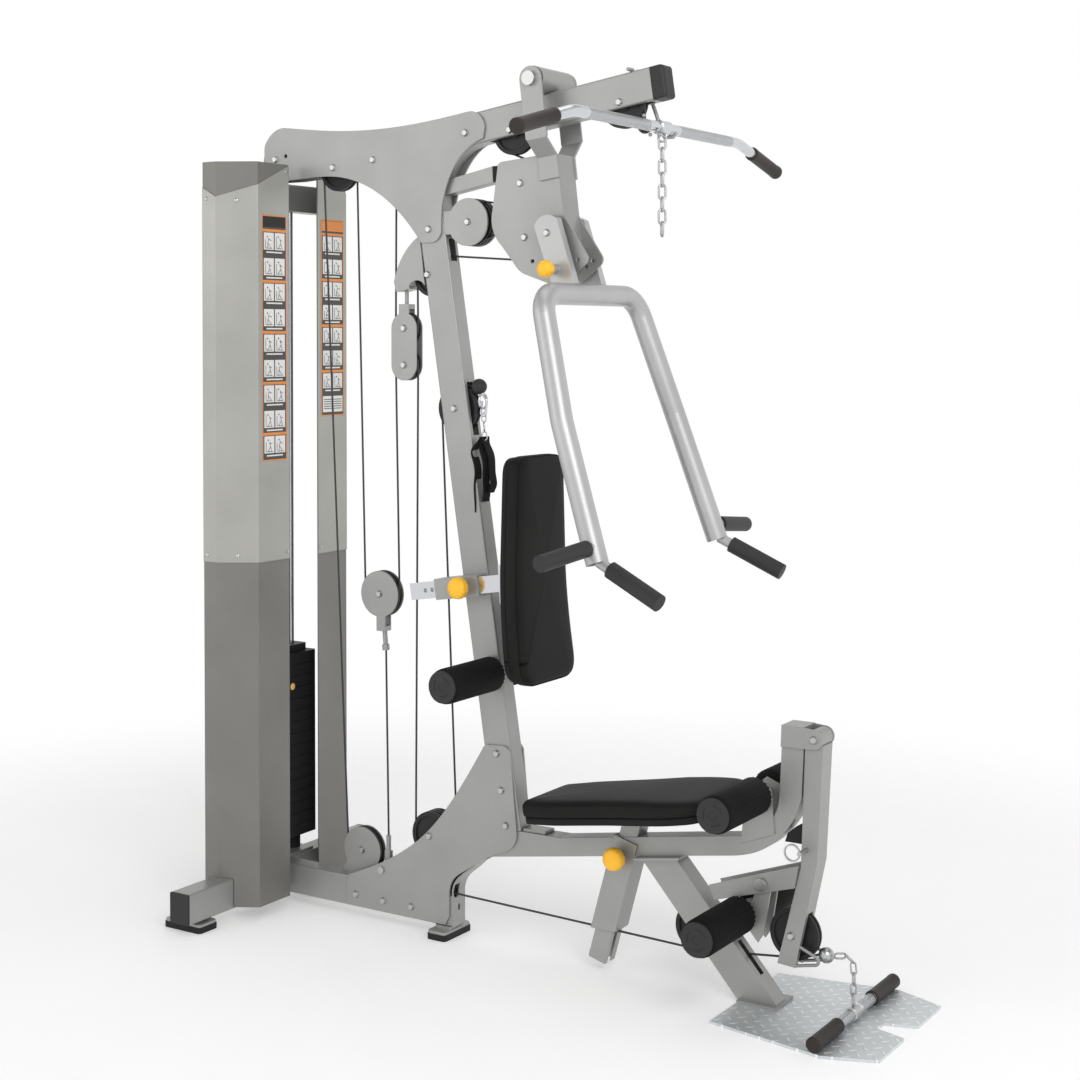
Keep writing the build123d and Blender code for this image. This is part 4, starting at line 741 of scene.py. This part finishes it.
leg_wheel = (0.685, 0, 0.140, 0.052)
lever_wheel = (0.918, 0, 0.167, WHEEL)
low_end = (0.972, 0, 0.130, 0.0)
e0, e1, heading_e = run(leg_wheel, lever_wheel)
f0, f1, heading_f = run(lever_wheel, low_end)
piece = tube("lever cable looks", dense(e0, e1) + wrap(lever_wheel, heading_e, heading_f)[1:-1]
             + dense(f0, f1, 4), CABLE, cable_skin, sides=12)
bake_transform(piece)
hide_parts("lever_cable")


# ---- placards -------------------------------------------------------------------------------
def figure(y, z, width, height, index):
    """A generic stick figure at exercise, drawn with thin strips."""
    x = -0.4513
    head = [(x, y + 0.15 * width * (1 if index % 2 else -1) + 0.055 * width * cos(a), z
             + 0.28 * height + 0.055 * width * sin(a)) for a in [k * pi / 6 for k in range(12)]]
    parts = [mesh_object("head", head, [tuple(range(12))], dark_print, smooth=False)]
    lean = 0.18 * width * (1 if index % 3 else -1)
    strokes = [
        ((0, 0.20), (lean / width * 0.6, -0.10)), ((lean / width * 0.6, -0.10), (-0.15, -0.38)),
        ((lean / width * 0.6, -0.10), (0.2, -0.36)), ((0, 0.12), (0.26, 0.05 + 0.2 * (index % 2))),
        ((-0.3, -0.40), (0.32, -0.40)), ((-0.34, -0.40), (-0.34, 0.10 + 0.1 * (index % 3))),
    ]
    for (ay, az), (by, bz) in strokes:
        a, b = Vector((y + ay * width, z + az * height)), Vector((y + by * width, z + bz * height))
        side = (b - a).orthogonal().normalized() * 0.0007
        quad = [(x, *(a + side)), (x, *(a - side)), (x, *(b - side)), (x, *(b + side))]
        parts.append(mesh_object("stroke", quad, [(0, 1, 2, 3)], dark_print, smooth=False))
    return parts


def placard(y, bottom, top, rows, header):
    """A printed sign: orange bands, and pairs of white cells with figures."""
    pieces = []

    def patch(ay, az, by, bz, material, x=-0.45185):
        """A flat printed patch."""
        corners = [(x, ay, az), (x, by, az), (x, by, bz), (x, ay, bz)]
        pieces.append(mesh_object("patch", corners, [(0, 1, 2, 3)], material, smooth=False))

    patch(y - 0.046, bottom, y + 0.046, top, orange, -0.45195)
    patch(y - 0.043, bottom + 0.003, y + 0.043, top - 0.003, dark_print, -0.4519)
    patch(y - 0.043, top - 0.030, y + 0.043, top - 0.004, header)
    pitch = (top - 0.034 - bottom - 0.008) / (rows + (0.9 if rows < 9 else 0))
    for row in range(rows):
        level = top - 0.034 - (row + 1) * pitch
        if row % 2 == 0:
            patch(y - 0.043, level + pitch - 0.008, y + 0.043, level + pitch - 0.001, orange)
        for column in (-1, 1):
            centre = y + column * 0.0205
            patch(centre - 0.0185, level + 0.011, centre + 0.0185, level + pitch - 0.010, white)
            pieces.extend(figure(centre, level + pitch / 2, 0.037, pitch - 0.021,
                                 row * 2 + column + 1))
        patch(y - 0.030, level + 0.003, y + 0.030, level + 0.0065, white)
    if rows < 9:
        patch(y - 0.040, bottom + 0.010, y + 0.040, bottom + 0.010 + 0.7 * pitch, white)
        for line in range(5):
            level = bottom + 0.018 + line * 0.1 * pitch
            patch(y - 0.036, level, y + 0.036, level + 0.002, dark_print, -0.4516)
    sign = join("placard", pieces)
    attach(sign, "frame")


placard(-0.114, 1.144, 1.756, 9, plastic)
placard(0.114, 1.248, 1.757, 7, orange)

# ---- shroud screws --------------------------------------------------------------------------
screws = []
for side in (-1, 1):
    for z, inner, outer in ((0.910, 0.910, 0.910), (1.790, 1.868, 1.795)):
        screws.append(((-0.453, side * 0.066, inner), (1, 0, 0)))
        screws.append(((-0.4988, side * 0.2005, z), (0.507, side * 0.862, 0)))
        screws.append(((-0.575, side * 0.227, outer), (0, side, 0)))
heads = [lathe("screw", place, axis, [(0.0, 0.0055), (0.0012, 0.0052), (0.0024, 0.0034),
                                      (0.0028, 0.0)], zinc, sides=16) for place, axis in screws]
screw_heads = join("shroud screws", heads)
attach(screw_heads, "frame")

# ---- mid station: snap hook, ring and strap bundle -------------------------------------------
mid = []
ring = [(0.096 + 0.001 * k, -0.004 + 0.016 * cos(k * pi / 12), 1.300 + 0.018 * sin(k * pi / 12))
        for k in range(24)]
mid.append(tube("ring", [(0.104, p[1], p[2]) for p in ring], 0.003, chrome, 10, closed=True))
mid.append(tube("hook", bent_path([(0.100, 0, 1.316), (0.112, 0, 1.302), (0.108, 0, 1.262),
                                   (0.094, 0, 1.268), (0.098, 0, 1.300)], 0.006), 0.0032, chrome))
mid += link_chain([(0.103, 0, 1.272), (0.106, 0, 1.205)], 0.0035, 0.024, 0.014, chrome)
for index, (shift, drop_z, lean) in enumerate(((-0.014, 1.035, -0.010), (0.0, 1.060, 0.004),
                                               (0.013, 1.080, 0.012))):
    path = smooth_path([(0.104, shift * 0.3, 1.215), (0.098 + lean, shift, 1.18),
                        (0.108 + lean, shift * 1.2, 1.12), (0.104 + lean, shift, drop_z)], 8)
    rows = []
    for i, p in enumerate(path):
        wave = 0.0025 * sin(i * 0.6 + index)
        for dx, dy in ((-0.0015, -0.013), (0.0015, -0.013), (0.0015, 0.013), (-0.0015, 0.013)):
            rows.append((p.x + dx + wave, p.y + dy, p.z))
    faces = [(0, 1, 2, 3)]
    for i in range(len(path) - 1):
        for k in range(4):
            a, b = i * 4 + k, i * 4 + (k + 1) % 4
            faces.append((a, b, b + 4, a + 4))
    last = (len(path) - 1) * 4
    faces.append((last + 3, last + 2, last + 1, last))
    mid.append(mesh_object("strap", rows, faces, strap, smooth=False))
station = join("mid station strap", mid)
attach(station, "frame")

# ---- floor, light and camera ------------------------------------------------------------------
FLOOR_FADE = (1.3, 2.9)      # distance from the origin over which the floor thins out
FLOOR_GLOW = 0.24            # keeps the pale floor as light as the surroundings
SKY_FADE = (0.35, 0.80)      # height on the sky over which it darkens, for contrast on metal
floor_material = shade("floor", (0.86, 0.86, 0.86), 0.0, 0.8, spread=0.01, grain=60.0, bump=0.02)
fade_tree = floor_material.node_tree
floor_shader = fade_tree.nodes["Principled BSDF"]
floor_shader.inputs["Emission Color"].default_value = (1.0, 1.0, 1.0, 1)
floor_shader.inputs["Emission Strength"].default_value = FLOOR_GLOW
floor_place = node(fade_tree, "ShaderNodeTexCoord")
reach = node(fade_tree, "ShaderNodeVectorMath", operation="LENGTH")
fade_tree.links.new(floor_place.outputs["Object"], reach.inputs[0])
fade = smooth_range(fade_tree, reach.outputs["Value"], *FLOOR_FADE, 1.0, 0.0)
fade_tree.links.new(fade, floor_shader.inputs["Alpha"])
floor = mesh_object("floor", [(-12, -12, -0.0005), (12, -12, -0.0005), (12, 12, -0.0005),
                              (-12, 12, -0.0005)], [(0, 1, 2, 3)], floor_material, smooth=False)

world = bpy.data.worlds.new("studio")
bpy.context.scene.world = world
world.use_nodes = True
world.node_tree.nodes["Background"].inputs["Color"].default_value = (1.0, 1.0, 1.0, 1)
sky_tree = world.node_tree
sky_place = node(sky_tree, "ShaderNodeTexCoord")
sky_axes = node(sky_tree, "ShaderNodeSeparateXYZ")
sky_tree.links.new(sky_place.outputs["Generated"], sky_axes.inputs[0])
sky = smooth_range(sky_tree, sky_axes.outputs["Z"], *SKY_FADE, 1.0, 0.3)
sky_tree.links.new(sky, sky_tree.nodes["Background"].inputs["Strength"])


def area_light(name, place, target, size_m, power):
    """A soft square lamp aimed at a point."""
    data = bpy.data.lights.new(name, "AREA")
    data.size = size_m
    data.energy = power
    lamp = bpy.data.objects.new(name, data)
    bpy.context.scene.collection.objects.link(lamp)
    lamp.location = place
    aim = Vector(target) - Vector(place)
    lamp.rotation_euler = aim.to_track_quat("-Z", "Y").to_euler()


area_light("key", (3.2, -2.6, 3.4), (0.2, 0.0, 1.0), 2.4, 75)
area_light("fill", (-2.4, -3.6, 2.4), (-0.2, 0.0, 1.0), 2.6, 20)
area_light("top", (0.2, 0.6, 4.4), (0.1, 0.0, 0.8), 3.0, 30)

camera_data = bpy.data.cameras.new("photo camera")
camera_data.lens = 60.06
camera_data.sensor_width = 36
camera_data.shift_y = -0.150
camera = bpy.data.objects.new("photo camera", camera_data)
bpy.context.scene.collection.objects.link(camera)
camera.location = (2.5349, -3.5475, 1.4500)
camera.rotation_euler = (radians(90 - 1.27), 0, radians(32.641))
bpy.context.scene.camera = camera
bpy.context.scene.view_settings.view_transform = "Standard"
